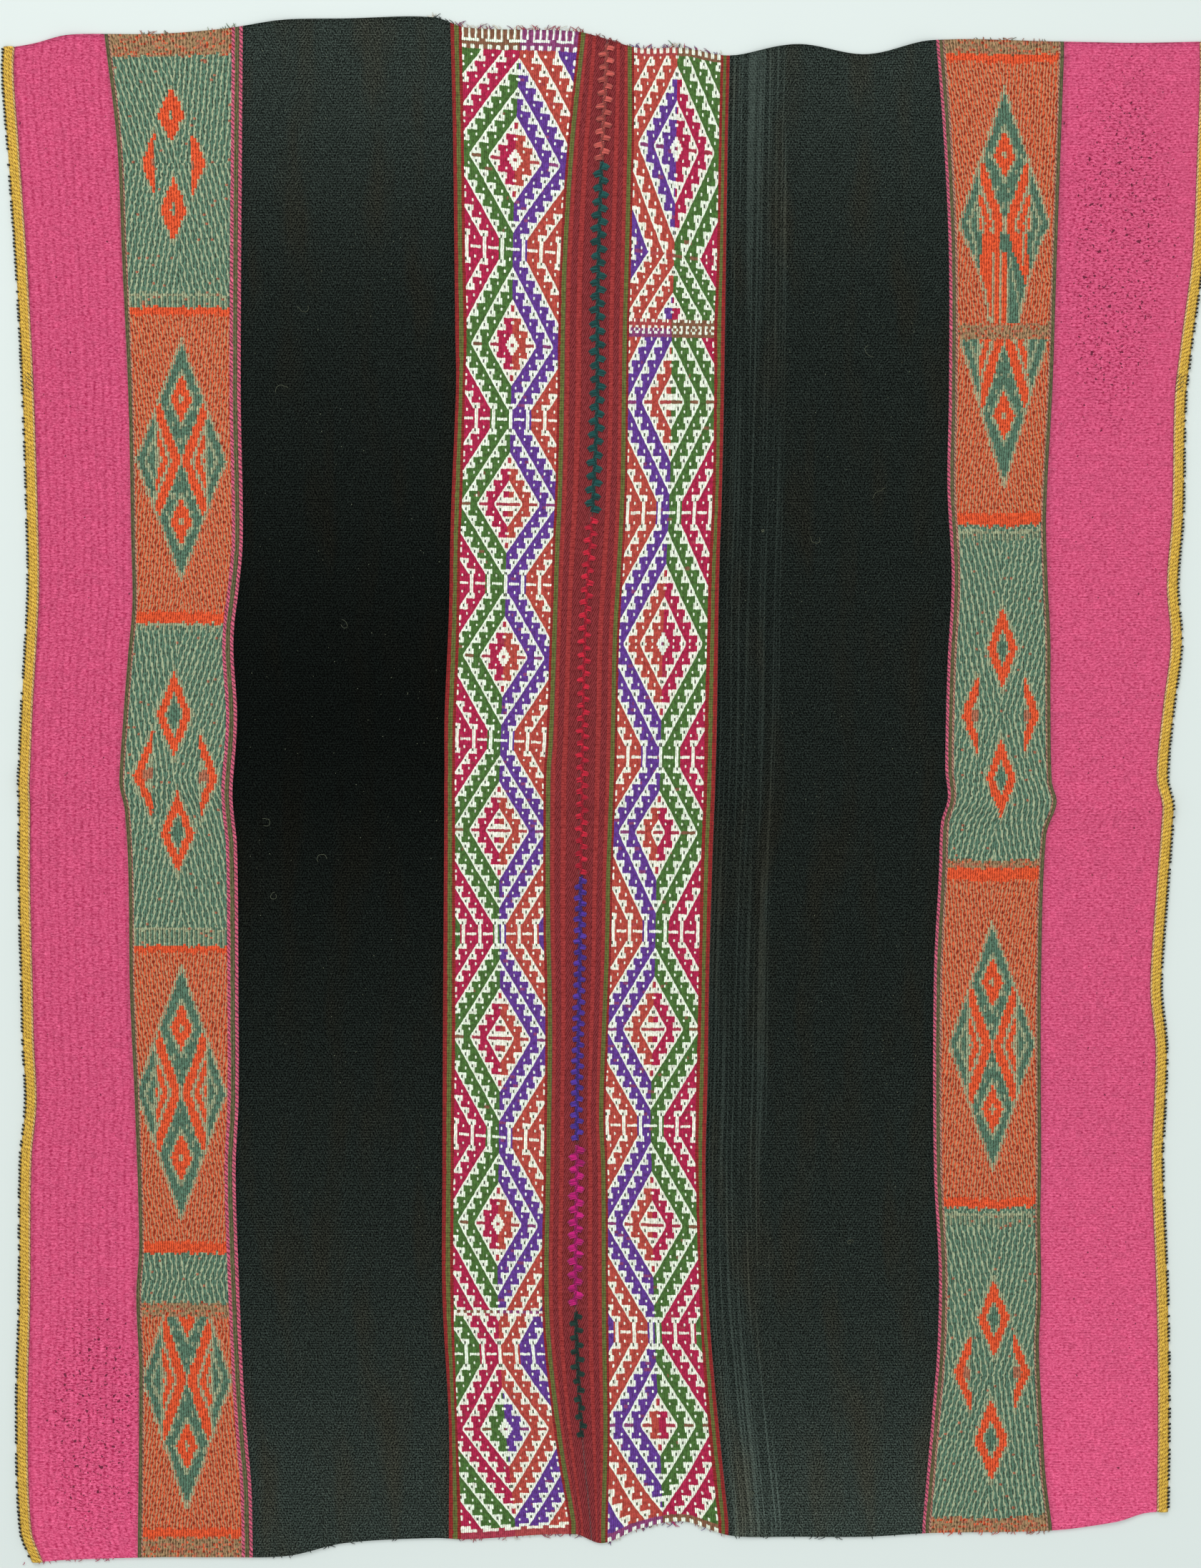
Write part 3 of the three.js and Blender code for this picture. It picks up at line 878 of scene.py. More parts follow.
def side_wool():
    """Side bands: slanted floats over their ground, strands in the motifs, twisted cords; painted shade
    darkens the gaps between strands, the pits and the knots.
    """
    n = Wool("side_wool")
    sizes = bpy.context.scene.cloth_sizes
    wander = n.lumps(190.0, 130.0)
    loose = n.total(n.u, (wander, 0.0026))
    climb = n.math("MULTIPLY", n.slant, n.v)
    turn = n.total(0.0, (n.v, 1 / 0.0098), (n.u, 1 / (4 * sizes.strand)))
    sway = n.math("SUBTRACT", n.wave(turn), 0.5)
    pairs = n.math("DIVIDE", n.total(loose, (climb, -0.22), (n.math("MULTIPLY", sway, n.slant), 0.0004)),
                   n.math("MULTIPLY", sizes.strand, 2.0))
    dash = n.edge(n.total(0.0, (n.math("FLOOR", pairs), 0.5), (n.v, 1 / 0.0098), (climb, 20.0),
                          (wander, 1.2)))
    wide = n.math("MULTIPLY", n.ramp(n.edge(pairs), 0.50, 0.78), n.ramp(dash, 0.88, 0.56))
    strand = n.math("DIVIDE", n.total(loose, (climb, -0.14)), n.math("MULTIPLY", sizes.strand, 1.25))
    dash = n.edge(n.total(0.0, (n.math("FLOOR", strand), 0.43), (n.v, 1 / 0.0076), (wander, 1.4)))
    close = n.math("MULTIPLY", n.ramp(n.edge(strand), 0.38, 0.68), n.ramp(dash, 0.88, 0.50))
    knot = n.math("MULTIPLY", n.math("MULTIPLY", n.ramp(dash, 0.70, 1.0), n.second), 0.9)
    column = n.math("MULTIPLY_ADD", wander, 0.6, n.column)
    cell = n.edge(column)
    narrow = n.math("MULTIPLY", n.ramp(cell, 0.68, 0.95), n.floats)
    pit = n.edge(n.total(0.0, (n.math("FLOOR", column), 0.37), (n.v, 1 / 0.0058), (wander, 1.4)))
    pit = n.math("MULTIPLY", n.ramp(pit, 0.70, 1.0), n.ramp(cell, 0.25, 0.9))
    turn = n.edge(n.total(0.0, (n.v, 1 / 0.0034), (n.column, 0.36), (wander, 1.4)))
    shaded = n.math("MULTIPLY", n.ramp(turn, 0.40, 0.98), n.corner)
    between = n.math("MULTIPLY", n.ramp(cell, 0.35, 1.0), n.math("SUBTRACT", 1.0, n.corner))
    lumps = n.lumps(430.0, 360.0, 3.0)
    fibre = n.lumps(1700.0, 700.0, 2.0)
    body = n.blend("MIX", n.math("MAXIMUM", narrow, shaded), n.dye, n.ground)
    # Painted shade: the gaps between strands, the pits and the knots darken the share; lumps and fibre
    # are mottling.
    share = n.total(-0.64, (between, -0.46), (pit, -0.50), (knot, -0.55), (lumps, 1.80), (fibre, 1.00))
    body = n.tones(body, share, (0.34, 0.25, 0.24), (1.30, 1.6, 1.7))
    thread = n.tones(paint("sage"), n.total(-0.4, (lumps, 1.1), (fibre, 0.9)),
                     (0.6, 0.6, 0.6), (1.3, 1.3, 1.3))
    ashen = n.blend("MULTIPLY", 1.0, thread, (1.25, 0.60, 0.52, 1.0))
    colour = n.blend("MIX", n.math("MULTIPLY", wide, n.first), body, thread)
    colour = n.blend("MIX", n.math("MULTIPLY", close, n.second), colour, ashen)
    height = n.total(0.0, (n.math("MULTIPLY", wide, n.first), 0.35), (between, -0.35), (pit, -0.45),
                     (knot, -0.4), (shaded, -0.7), (fibre, 0.25), (lumps, 0.3))
    return n.finish(colour, height)


def pattern_wool():
    """Pattern bands: round white floats over dyed strands, their stepped edges made slanted; painted
    shade darkens the valleys between strands, painted highlight lightens the raised floats, and the
    stripes' ribs carry both.
    """
    n = Wool("pattern_wool")
    sizes = bpy.context.scene.cloth_sizes
    wander = n.lumps(260.0, 200.0)
    column = n.math("MULTIPLY_ADD", wander, 0.30, n.column)
    cell = n.edge(column)
    across, along = n.math("FRACT", n.column), n.math("FRACT", n.row)
    kind = n.math("MULTIPLY", n.corner, 5.0)
    from_right = n.math("MULTIPLY", n.math("LESS_THAN", n.math("PINGPONG", kind, 1.0), 0.5),
                        n.math("GREATER_THAN", kind, 0.5))
    from_foot = n.math("GREATER_THAN", kind, 2.5)
    across = n.math("ABSOLUTE", n.math("SUBTRACT", from_right, across))
    along = n.math("ABSOLUTE", n.math("SUBTRACT", from_foot, along))
    slope = n.ramp(n.math("ADD", across, along), 1.06, 0.84)
    slope = n.math("MULTIPLY", slope, n.math("GREATER_THAN", kind, 0.5))
    gap = n.math("MULTIPLY", n.ramp(cell, 0.60, 1.0), n.floats)
    top_end = n.math("MULTIPLY", n.ramp(n.math("FRACT", n.row), 0.24, 0.0), n.first)
    low_end = n.math("MULTIPLY", n.ramp(n.math("FRACT", n.row), 0.76, 1.0), n.second)
    ends = n.math("MULTIPLY", n.math("MAXIMUM", top_end, low_end), n.ramp(cell, 0.0, 0.7))
    hidden = n.math("MAXIMUM", n.math("MULTIPLY", gap, 0.62), n.math("MULTIPLY", ends, n.floats))
    body = n.blend("MIX", hidden, n.dye, n.ground)
    body = n.blend("MIX", slope, body, paint("white"))
    rib = n.wave(n.math("DIVIDE", n.v, sizes.rib_pitch))
    between = n.ramp(cell, 0.45, 1.0)
    lumps = n.lumps(380.0, 330.0, 3.0)
    fibre = n.lumps(1700.0, 800.0, 2.0)
    raised = n.math("MAXIMUM", n.floats, slope)
    plain = n.math("SUBTRACT", 1.0, raised)
    valley = n.math("MULTIPLY", between, n.math("MULTIPLY_ADD", plain, 0.22, 0.06))
    rib = n.math("MULTIPLY", n.math("SUBTRACT", rib, 0.5), n.slant)
    # Painted light in the share: the valleys darken as painted shade, the raised floats lighten as
    # painted highlight, and the stripes' ribs do both; lumps and fibre are mottling.
    share = n.total(-0.62, (valley, -1.1), (lumps, 1.60), (fibre, 0.95), (rib, 0.40), (raised, 0.14))
    colour = n.tones(body, share, (0.42, 0.34, 0.36), (1.20, 1.42, 1.42))
    height = n.total(0.0, (raised, 0.35), (between, -0.35), (fibre, 0.2), (lumps, 0.25),
                     (rib, 0.35))
    return n.finish(colour, height)


def chart_rows(passage):
    """The rows of one passage: level in pixels, count, nearest turn, its way and distance."""
    rows = []
    for (y0, d0, way0), (y1, d1, way1) in zip(passage, passage[1:]):
        steps = abs(d1 - d0)
        toward = 1 if d1 > d0 else -1
        for i in range(steps):
            first = i <= steps / 2
            turn, way, gap = (d0, way0, i) if first else (d1, way1, steps - i)
            rows.append((y0 + (y1 - y0) * i / steps, d0 + toward * i, turn, way, gap))
    y_last, d_last, way_last = passage[-1]
    rows.append((y_last, d_last, d_last, way_last, 0))
    return rows


# Which cells of a lattice line are white, for each of the four rows that repeat
LINE_ROWS = ["W.WW......", "WWWWW.....", "W.........", "WW....W..."]


def chart_cell(d, turn, way, gap, idx):
    """What one cell of the chart is: its letter, and how many lines lie outside it."""
    if way == "cross" and gap < 4:
        place_in_line = (idx - turn) % LINE_REPEAT
        inside = math.floor((turn + 7 - idx) / LINE_REPEAT)
        if place_in_line in (5, 6):
            return "W", inside
        if gap == 0 and place_in_line in (8, 9, 0, 1, 2, 3):
            return "W", inside
        if gap == 3 and place_in_line == 1:
            return "W", inside
        return ".", inside
    if way == "point" and turn % LINE_REPEAT == 4 and idx <= 1 and gap <= 2:
        return "MWW"[gap], math.floor((turn + 3) / LINE_REPEAT)
    inside = math.floor((d - idx + 3) / LINE_REPEAT)
    if way == "ring" and gap <= 2 and idx <= 2:
        ring = {0: "MWW", 1: "WWW", 2: "WW."}[gap]
        return ring[idx], inside
    place_in_line = (d - idx + 3) % LINE_REPEAT
    letter = LINE_ROWS[d % 4][place_in_line]
    if d % 4 == 0 and place_in_line == 1:
        letter = "E"
    if d % 4 == 2 and gap == 0 and 1 <= place_in_line <= 5:
        letter = "M"
    return letter, inside


def slanted_corner(rows, j, idx, side):
    """Which corner of a ground cell its line's slanted edge covers, from 1 to 4, or 0."""
    level, d, _, way, gap = rows[j]
    if way == "cross" and gap < 4 or way == "ring" and gap < 5 and idx < 5:
        return 0
    if (d - idx + 3) % LINE_REPEAT != LINE_REPEAT - 1:
        return 0
    for step, down in ((1, 1), (-1, 0)):
        if 0 <= j + step < len(rows) and rows[j + step][1] == d + 1:
            return 1 + (1 if side == 0 else 0) + 2 * down
    return 0


def left_band_dyes(level, inside, side):
    """The left band's ground colour at a row, by how many lines lie outside the cell."""
    outer, framed = ("crimson", "orange"), ("green", "purple")
    if level >= LEFT_JOIN:
        outer, framed = framed, outer
    return (framed if (inside // 2) % 2 == 0 else outer)[side]


def right_band_dyes(level, inside, side):
    """The right band's ground colour at a row, by how many lines lie outside the cell."""
    if level < RIGHT_JOIN:
        framed = inside >= (1 if level < RIGHT_FIRST_CROSSING else 2) or (inside <= -2 and level > 130)
        return (("purple", "crimson") if framed else ("orange", "green"))[side]
    if level < 655 and side == 1 and inside >= 0:
        return "green"
    framed = (inside // 2) % 2 == 0
    return (("purple", "green") if framed else ("orange", "crimson"))[side]


def join_rows(start, end, kinds):
    """Rows of small marks where one length of the pattern ends and the next starts."""
    pitch = (end - start) / len(kinds)
    return [(start + pitch * (k + 0.5), "join", kind) for k, kind in enumerate(kinds)]


def join_letter(kind, c):
    """The cell of a row at an end or a join: strokes, dots, pairs, a row or plain."""
    marks = {"strokes": c % 3 == 0, "dots": c % 4 < 2, "pairs": c % 7 in (0, 1, 3), "row": c % 11 < 8}
    if kind in marks:
        return "W" if marks[kind] else "M"
    return "M"


def band_cells(rows, ground, rng):
    """The cells of a pattern band: its white floats, their grounds and slanted corners."""
    count = len(rows)
    shape = (2 * CHART_HALF, count)
    letters = np.full(shape, ".", dtype="<U1")
    base = np.zeros(shape + (4,))
    for j, row in enumerate(rows):
        for c in range(2 * CHART_HALF):
            side = 0 if c < CHART_HALF else 1
            idx = CHART_HALF - 1 - c if side == 0 else c - CHART_HALF
            if row[1] == "join":
                letter, inside = join_letter(row[2], c), 0
            else:
                letter, inside = chart_cell(row[1], row[2], row[3], row[4], idx)
                if letter == ".":
                    base[c, j, 3] = slanted_corner(rows, j, idx, side) / 5
            letters[c, j] = letter
            base[c, j, :3] = dye(ground(row[0], inside, side))
    for _ in range(count):
        c, j = rng.integers(0, 2 * CHART_HALF - 5), rng.integers(0, count)
        run = letters[c:c + rng.integers(1, 5), j]
        if rng.random() < (0.55 if base[c, j, 2] > base[c, j, 1] * 2.5 else 0.12):
            run[run == "."] = "M"
    white, eye = letters == "W", letters == "E"
    mixed = (letters == "M")[..., None]
    top = np.where(mixed, dye("mixed") * 0.55 + base[..., :3] * 0.45, base[..., :3])
    top = np.where(white[..., None], dye("white"), np.where(eye[..., None], dye("eye"), top))
    base[eye, :3] = dye("white")
    pale = (np.add.outer(np.arange(shape[0]), np.arange(count)) % 4 == 0)[..., None]
    under = np.where(white[..., None], base[..., :3], np.where(pale, dye("white"), top * 0.9))
    sloped = base[..., 3] > 0
    held = white | sloped
    kind = np.zeros(shape + (4,))
    kind[:, 1:, 0] = white[:, 1:] & ~held[:, :-1]
    kind[:, :-1, 1] = white[:, :-1] & ~held[:, 1:]
    kind[..., 2] = white | eye
    kind[..., 3] = 0.5
    relief = np.where(white, bpy.context.scene.cloth_sizes.float_relief, 0.0)
    shade = rng.normal(1.0, 0.05, size=shape)[..., None]
    return packed(top * shade, under * shade, relief, kind, base)


def levels_from_centres(centres, first, last):
    """Row borders between the rows' middles, from the first end to the last."""
    middles = (centres[1:] + centres[:-1]) / 2
    return np.concatenate([[first], middles, [last]])


# How much a stripe shows of the two weaves of its material, its floats, and its lean
PLAIN = (0.0, 0.0, 0.0, 0.5)
PITTED = (0.0, 0.0, 0.18, 0.5)
CROSS_RIBBED = (0.0, 1.0, 0.25, 0.5)
STREAKED = (0.0, 1.0, 0.0, 0.5)
RIBBED = (1.0, 0.0, 0.0, 0.5)
TWILL = (0.0, 1.0, 0.0, 0.5)
RIBBED_BORDER = (0.0, 0.0, 0.0, 1.0)


def strip(name, lanes, levels, tilt, loose=0.0):
    """One lengthwise strip of a panel, from its lanes of stripes, side by side.

    A lane is its left line, its right line, its number of columns and a function
    that gives its cells. Points may stand loose by that share of a column.
    """
    lines = []
    for start, end, columns, _ in lanes:
        lines += [between(start, end, k / columns) for k in range(columns)]
    lines.append(lanes[-1][1])
    x, y = row_points(lines, y_at(levels), tilt)
    if loose:
        rng = np.random.default_rng(len(levels))
        shape = x[1:-1, 1:-1].shape
        x[1:-1, 1:-1] += rng.normal(0, loose, shape) * np.diff(x, axis=0)[1:, 1:-1]
        y[1:-1, 1:-1] += rng.normal(0, loose, shape) * np.diff(y, axis=1)[1:-1, 1:]
    parts = [cells(columns, len(levels) - 1, levels) for _, _, columns, cells in lanes]
    cells = [np.concatenate([p[k] for p in parts]) for k in range(5)]
    warp = np.stack([x - x[:1], y], axis=-1)
    return sheet_mesh(name, x, y, cells, warp), x, y


def packed(top, under, relief, kind, base=None):
    """The arrays of a lane's cells, with their ground the same as their top if not given."""
    top = np.clip(top, 0, 1)
    if base is None:
        base = np.concatenate([top, np.zeros(top.shape[:2] + (1,))], axis=2)
    return top, np.clip(under, 0, 1), relief, kind, base


def plain_cells(dye_name, weave=PLAIN, spread=0.03, seed=1, tone=None, worn=None):
    """Cells of one dye, a little uneven: brighter down the cloth by tone, which is painted light, and
    worn in a part.
    """

    def cells(columns, rows, levels):
        rng = np.random.default_rng(seed)
        top = np.tile(dye(dye_name), (columns, rows, 1))
        top = top * rng.normal(1.0, spread, size=(columns, rows, 1))
        middle = (levels[1:] + levels[:-1]) / 2
        # The tone is painted light: brighter toward the ends of the cloth, a haze of light
        if tone:
            top = top * smooth_table(tone, 1, middle)[None, :, None]
        kind = np.tile(np.array(weave), (columns, rows, 1))
        if worn:
            x_middle, x_half, y_middle, y_half = worn
            dx = ((np.arange(columns) + 0.5) / columns - x_middle) / x_half
            dy = (middle - y_middle) / y_half
            near = np.minimum(1.7 * soft_bump(np.hypot.outer(dx, dy)), 1.0)
            kind[..., 2] = np.maximum(kind[..., 2], near)
        return packed(top, top * 0.9, np.zeros((columns, rows)), kind)

    return cells


def diamond_zone(dx, dy, half_width, half_height):
    """How far out a place is in a diamond: 0 in its middle, 1 on its outline."""
    return abs(dx) / half_width + abs(dy) / half_height


def motif_letter(motif, px, py):
    """The part of a motif at a place: O orange, G green, S or s a pale line, or None."""
    kind, x, y, half_width, half_height, hole = motif
    dx, dy = px - x, py - y
    if kind == "lozenge_broken" and dy > 12:
        return broken_letter(dx, dy)
    if kind.startswith("lozenge"):
        return lozenge_letter(dx, dy, half_width, half_height)
    zone = diamond_zone(dx, dy, half_width, half_height)
    if zone > 1 or kind == "arrow_left" and dx > 1 or kind == "arrow_right" and dx < -1:
        return None
    if zone > 0.84:
        return "S"
    if zone > hole:
        return "O"
    if kind != "diamond":
        return "S" if abs(dy) > 8 else "M"
    return "S" if zone > hole - 0.12 else "G"


def broken_letter(dx, dy):
    """The lower half of the lozenge that was woven out of true."""
    left, right = -65 + 0.40 * dy, 63 - 0.37 * dy
    if dy > 84:
        left, right = -31 + 0.16 * (dy - 84), 33 - 0.20 * (dy - 84)
    if dx < left or dx > right:
        return None
    if dx < left + 4 or dx > right - 4:
        return "s"
    green_left = -7 if dy < 38 else 2
    green_right = 5 + 0.34 * (dy - 12) if dy < 84 else right
    if green_left <= dx <= green_right:
        vein = abs(dx - 7 - 0.20 * (dy - 45)) < 1.9 and 45 < dy < 128
        return "S" if vein or (dy > 38 and dx < 5) else "G"
    if dy < 84 and abs(dx) > 33:
        return "S" if abs(abs(dx) - 46 + 0.16 * dy) < 1.9 and dy < 50 else "G"
    if dy > 36 and (abs(dx + 16) < 1.9 or abs(dx + 5) < 1.9):
        return "s"
    return "s" if dy < 58 and abs(dx - 27) < 1.9 else "O"


def lozenge_letter(dx, dy, half_width, half_height):
    """The part of a large lozenge of four green diamonds at a place."""
    zone = diamond_zone(dx, dy, half_width, half_height)
    if zone > 1.0:
        return None
    if zone > 0.935:
        return "s"
    spread = abs(dy) * half_width / half_height
    if abs(dx) < spread or abs(dx) < 2:
        eye = diamond_zone(dx, abs(dy) - half_height / 2, 15, 34)
        if abs(dy) < 8 or eye < 0.26:
            return "s"
        if eye < 1.0:
            return "O"
        if eye < 1.30 or spread - abs(dx) < 2.4:
            return "S"
        ragged = int(dx + 400) % 9 < 4 and int(abs(dy)) % 23 < 8
        return "S" if ragged and spread - abs(dx) < 12 else "G"
    if abs(dx) > half_width * 0.53:
        wing = diamond_zone(dx, dy, half_width * 0.77, half_height * 0.70)
        if abs(dx) < half_width * 0.58:
            return "S"
        return "S" if abs(wing - 1.0) < 0.05 and abs(dy) < 66 else "G"
    if abs(dx) - spread < 11:
        return "O"
    return "s" if int(abs(dx) - spread) % 13 < 5 else "O"


def side_cell(parts, motifs, px, py, c, ragged, chance):
    """The letter of one cell of a side band, with the parts' ends a little ragged."""
    level = py + ragged
    for start, end, kind in parts:
        if start <= level < end:
            break
    if kind == "mixed":
        return "B" if chance < 0.68 else "o" if chance < 0.86 else "M"
    if kind == "solid":
        return "O"
    if kind == "comb":
        return "C" if level - start < 4 else "S" if c % 2 == 0 else "M" if chance < 0.08 else "G"
    for motif in motifs:
        if kind == "orange" and motif[0].startswith("lozenge"):
            if motif[0] == "lozenge_broken" and py > 454:
                continue
            if motif[0] == "lozenge" and motif[2] == 476 and py < 475:
                continue
            letter = motif_letter(motif, px, py + ragged)
        elif kind == "green" and not motif[0].startswith("lozenge"):
            letter = motif_letter(motif, px, py + ragged)
        else:
            continue
        if letter:
            return letter
    if kind == "orange":
        return "o"
    return "M" if chance < 0.010 else "g"


SIDE_LOOKS = {
    # letter: dye, ground behind its floats, wide strokes, close strokes, floats
    "o": ("soft_orange", "orange_red", 0.0, 1.0, 0.0),
    "g": ("side_green", "side_green", 1.0, 0.0, 0.0),
    "O": ("orange_red", "orange_red", 0.0, 0.0, 0.0),
    "G": ("side_green", "side_green", 0.0, 0.0, 0.0),
    "C": ("outline", "side_green", 0.0, 0.0, 0.4),
    "S": ("outline", "side_green", 0.0, 0.0, 1.0),
    "s": ("outline", "orange_red", 0.0, 0.0, 1.0),
    "M": ("muted_orange", "side_green", 0.0, 0.0, 0.5),
    "B": ("brown_mix", "olive_line", 0.0, 0.8, 0.0),
}
TURNED = {"o": "G", "g": "O", "O": "G", "G": "O", "S": "o", "s": "G", "C": "O", "M": "G",
          "B": "G"}


def side_cells(side, parts, motifs, start, end, seed):
    """Cells of a side band: its slanted floats and its diamonds."""

    def cells(columns, rows, levels):
        rng = np.random.default_rng(seed)
        top, under = np.zeros((columns, rows, 3)), np.zeros((columns, rows, 3))
        base, kind = np.zeros((columns, rows, 4)), np.zeros((columns, rows, 4))
        relief = np.zeros((columns, rows))
        ragged = rng.normal(0, 1.5, size=columns)
        chances = rng.random((columns, rows))
        middles = SIDE_MIDDLES[side]
        for j in range(rows):
            py = (levels[j] + levels[j + 1]) / 2
            y = y_at(py)
            first, last = float(start(y)), float(end(y))
            focus = min(middles, key=lambda m: abs(m - py))
            for c in range(columns):
                x = first + (last - first) * (c + 0.5) / columns
                px = float(x / METRES_PER_PIXEL + PIXEL_X_AT_ORIGIN)
                letter = side_cell(parts, motifs, px, py, c, ragged[c], chances[c, j])
                name, ground, wide, close, floats = SIDE_LOOKS[letter]
                lean = -1.0 if (c < columns / 2) == (py < focus) else 1.0
                top[c, j] = dye(name)
                base[c, j, :3] = dye(ground)
                under[c, j] = dye(SIDE_LOOKS[TURNED[letter]][0])
                kind[c, j] = wide, close, floats, 0.5 + 0.5 * lean
                relief[c, j] = MOTIF_RELIEF if letter in "OSs" else 0.0
        shade = rng.normal(1.0, 0.05, size=(columns, rows, 1))
        return packed(top * shade, under * shade, relief, kind, base)

    return cells


def cord_cells(dye_name, seed):
    """Cells of a twisted cord, standing up a little, with painted shade between its turns."""

    def cells(columns, rows, levels):
        top, under, relief, kind, base = plain_cells(dye_name, PLAIN, 0.06, seed)(columns, rows, levels)
        base[..., :3], base[..., 3] = dye("cord_shade"), 1.0
        return packed(top, under, relief + CORD_RELIEF, kind, base)

    return cells


# The flat width and length of each laid strip, by its name
FLAT_SIZES = {}


def panel_of(name):
    """The CAD panel that a strip is part of."""
    return "panel_left" if name.startswith("left") else "panel_right"


def add_strip(name, lanes, levels, tilt, material, loose=0.0):
    """Weaves one strip, and notes its own flat width and length."""
    mesh, x, y = strip(name, lanes, levels, tilt, loose)
    place(mesh, name, material, "handwoven_panel", panel_of(name))
    width = float(abs(x[-1, :] - x[0, :]).mean())
    length = float(abs(y[:, -1] - y[:, 0]).mean())
    FLAT_SIZES[name] = (round(width, 3), round(length, 3))


def even_levels(first, last, pitch):
    """Row borders of an even pitch, in photo pixels."""
    count = max(int(round((last - first) / pitch)), 1)
    return np.linspace(first, last, count + 1)


class CLOTH_OT_plain_strips(bpy.types.Operator):
    """Weaves the pink and black plain strips and the red stripes by the seam"""

    bl_idname = "cloth.plain_strips"
    bl_label = "Plain strips"

    def execute(self, context):
        pink, black, red = pink_wool(), black_wool(), red_wool()
        left_pink = pixel_line(LEFT_PINK_EDGE)
        right_pink = pixel_line(RIGHT_PINK_EDGE)
        add_strip("left_pink", [
            (left_selvedge, left_pink, 16,
             plain_cells("pink", PITTED, 0.03, 3, PINK_PAINTED_LIGHT, (0.60, 0.75, 1990, 260)))],
            even_levels(45, 2178, PLAIN_ROW), None, pink)
        add_strip("right_pink", [
            (right_pink, right_selvedge, 16,
             plain_cells("pink", CROSS_RIBBED, 0.03, 6, PINK_PAINTED_LIGHT, (0.45, 0.62, 340, 400)))],
            even_levels(60, 2130, PLAIN_ROW), None, pink)
        add_strip("left_black", [
            (pixel_line(LEFT_BLACK_START), pixel_line(LEFT_BLACK_END), 30,
             plain_cells("black", PLAIN, 0.05, 4, LEFT_BLACK_PAINTED_LIGHT))],
            even_levels(30, 2160, PLAIN_ROW), None, black)
        start, end = pixel_line(RIGHT_BLACK_START), pixel_line(RIGHT_BLACK_END)
        streaks = between(start, end, 0.27)
        add_strip("right_black", [
            (start, streaks, 8, plain_cells("black", STREAKED, 0.05, 5, RIGHT_BLACK_PAINTED_LIGHT)),
            (streaks, end, 22, plain_cells("black", PLAIN, 0.05, 7, RIGHT_BLACK_PAINTED_LIGHT))],
            even_levels(68, 2148, PLAIN_ROW), None, black)
        left_from = pixel_line(LEFT_CHART_END, 9.5)
        right_to = pixel_line(RIGHT_CHART_START, -9)
        for name, start, end, shares, ribbed_first in (
            ("left_red", left_from, left_seam_side, (0.0, 0.15, 0.34, 0.51, 1.0), True),
            ("right_red", right_seam_side, right_to, (0.0, 0.46, 0.64, 0.85, 1.0), False),
        ):
            lanes = []
            for k, (a, b) in enumerate(zip(shares, shares[1:])):
                ribbed = (k % 2 == 0) == ribbed_first
                lanes.append((between(start, end, a), between(start, end, b), 2,
                              plain_cells("red" if ribbed else "twill_red",
                                          RIBBED if ribbed else TWILL, seed=10 + k)))
            add_strip(name, lanes, even_levels(52, 2150, PLAIN_ROW), None, red)
        return {"FINISHED"}


def stripes(start, end, shares, seed, first=0):
    """Narrow ribbed lanes, red and olive by turns."""
    return [(between(start, end, a), between(start, end, b), 2,
             plain_cells(("red", "olive")[(k + first) % 2], RIBBED_BORDER, seed=seed + k))
            for k, (a, b) in enumerate(zip(shares, shares[1:]))]


class CLOTH_OT_pattern_bands(bpy.types.Operator):
    """Weaves the two bands of nested diamonds with the stripes beside them"""

    bl_idname = "cloth.pattern_bands"
    bl_label = "Pattern bands"

    def execute(self, context):
        material = pattern_wool()
        strokes = ["strokes"] * 3
        left_rows = join_rows(42, 68, strokes + ["row", "plain", "dots"])
        left_rows += chart_rows(LEFT_PASSAGES[0])[1:]
        left_rows += join_rows(1833, 1841, ["dots", "row"]) + chart_rows(LEFT_PASSAGES[1])
        left_rows += join_rows(2137, 2149, ["row", "plain", "plain"])
        right_rows = join_rows(72, 82, ["dots", "dots", "plain"]) + chart_rows(RIGHT_PASSAGES[0])
        right_rows += join_rows(448, 472, ["pairs", "plain", "dots", "strokes", "dots", "plain"])
        right_rows += chart_rows(RIGHT_PASSAGES[1]) + join_rows(2124, 2132, ["plain", "dots"])
        for name, rows, ground, tilt, start, end, first, last, seed in (
            ("left_chart", left_rows, left_band_dyes, LEFT_TILT,
             LEFT_CHART_START, LEFT_CHART_END, 41, 2150, 21),
            ("right_chart", right_rows, right_band_dyes, RIGHT_TILT,
             RIGHT_CHART_START, RIGHT_CHART_END, 71, 2134, 22),
        ):
            rng = np.random.default_rng(seed)
            made = band_cells(rows, ground, rng)
            centres = np.array([row[0] for row in rows])
            levels = levels_from_centres(centres, first, last)
            chart = (pixel_line(start), pixel_line(end), 2 * CHART_HALF,
                     lambda columns, count, borders, made=made: made)
            if name == "left_chart":
                outer, inner = pixel_line(LEFT_BLACK_END), pixel_line(start)
                lanes = stripes(outer, inner, (0, 0.34, 0.73, 1), 31) + [chart]
                lanes += stripes(pixel_line(end), pixel_line(end, 9.5), (0, 0.36, 1), 34)
            else:
                outer, inner = pixel_line(RIGHT_BLACK_START), pixel_line(end)
                lanes = stripes(pixel_line(start, -9), pixel_line(start), (0, 0.66, 1), 37, 1)
                lanes += [chart] + stripes(inner, outer, (0, 0.30, 0.64, 1), 39)
            add_strip(name, lanes, levels, tilt, material, 0.09)
        return {"FINISHED"}


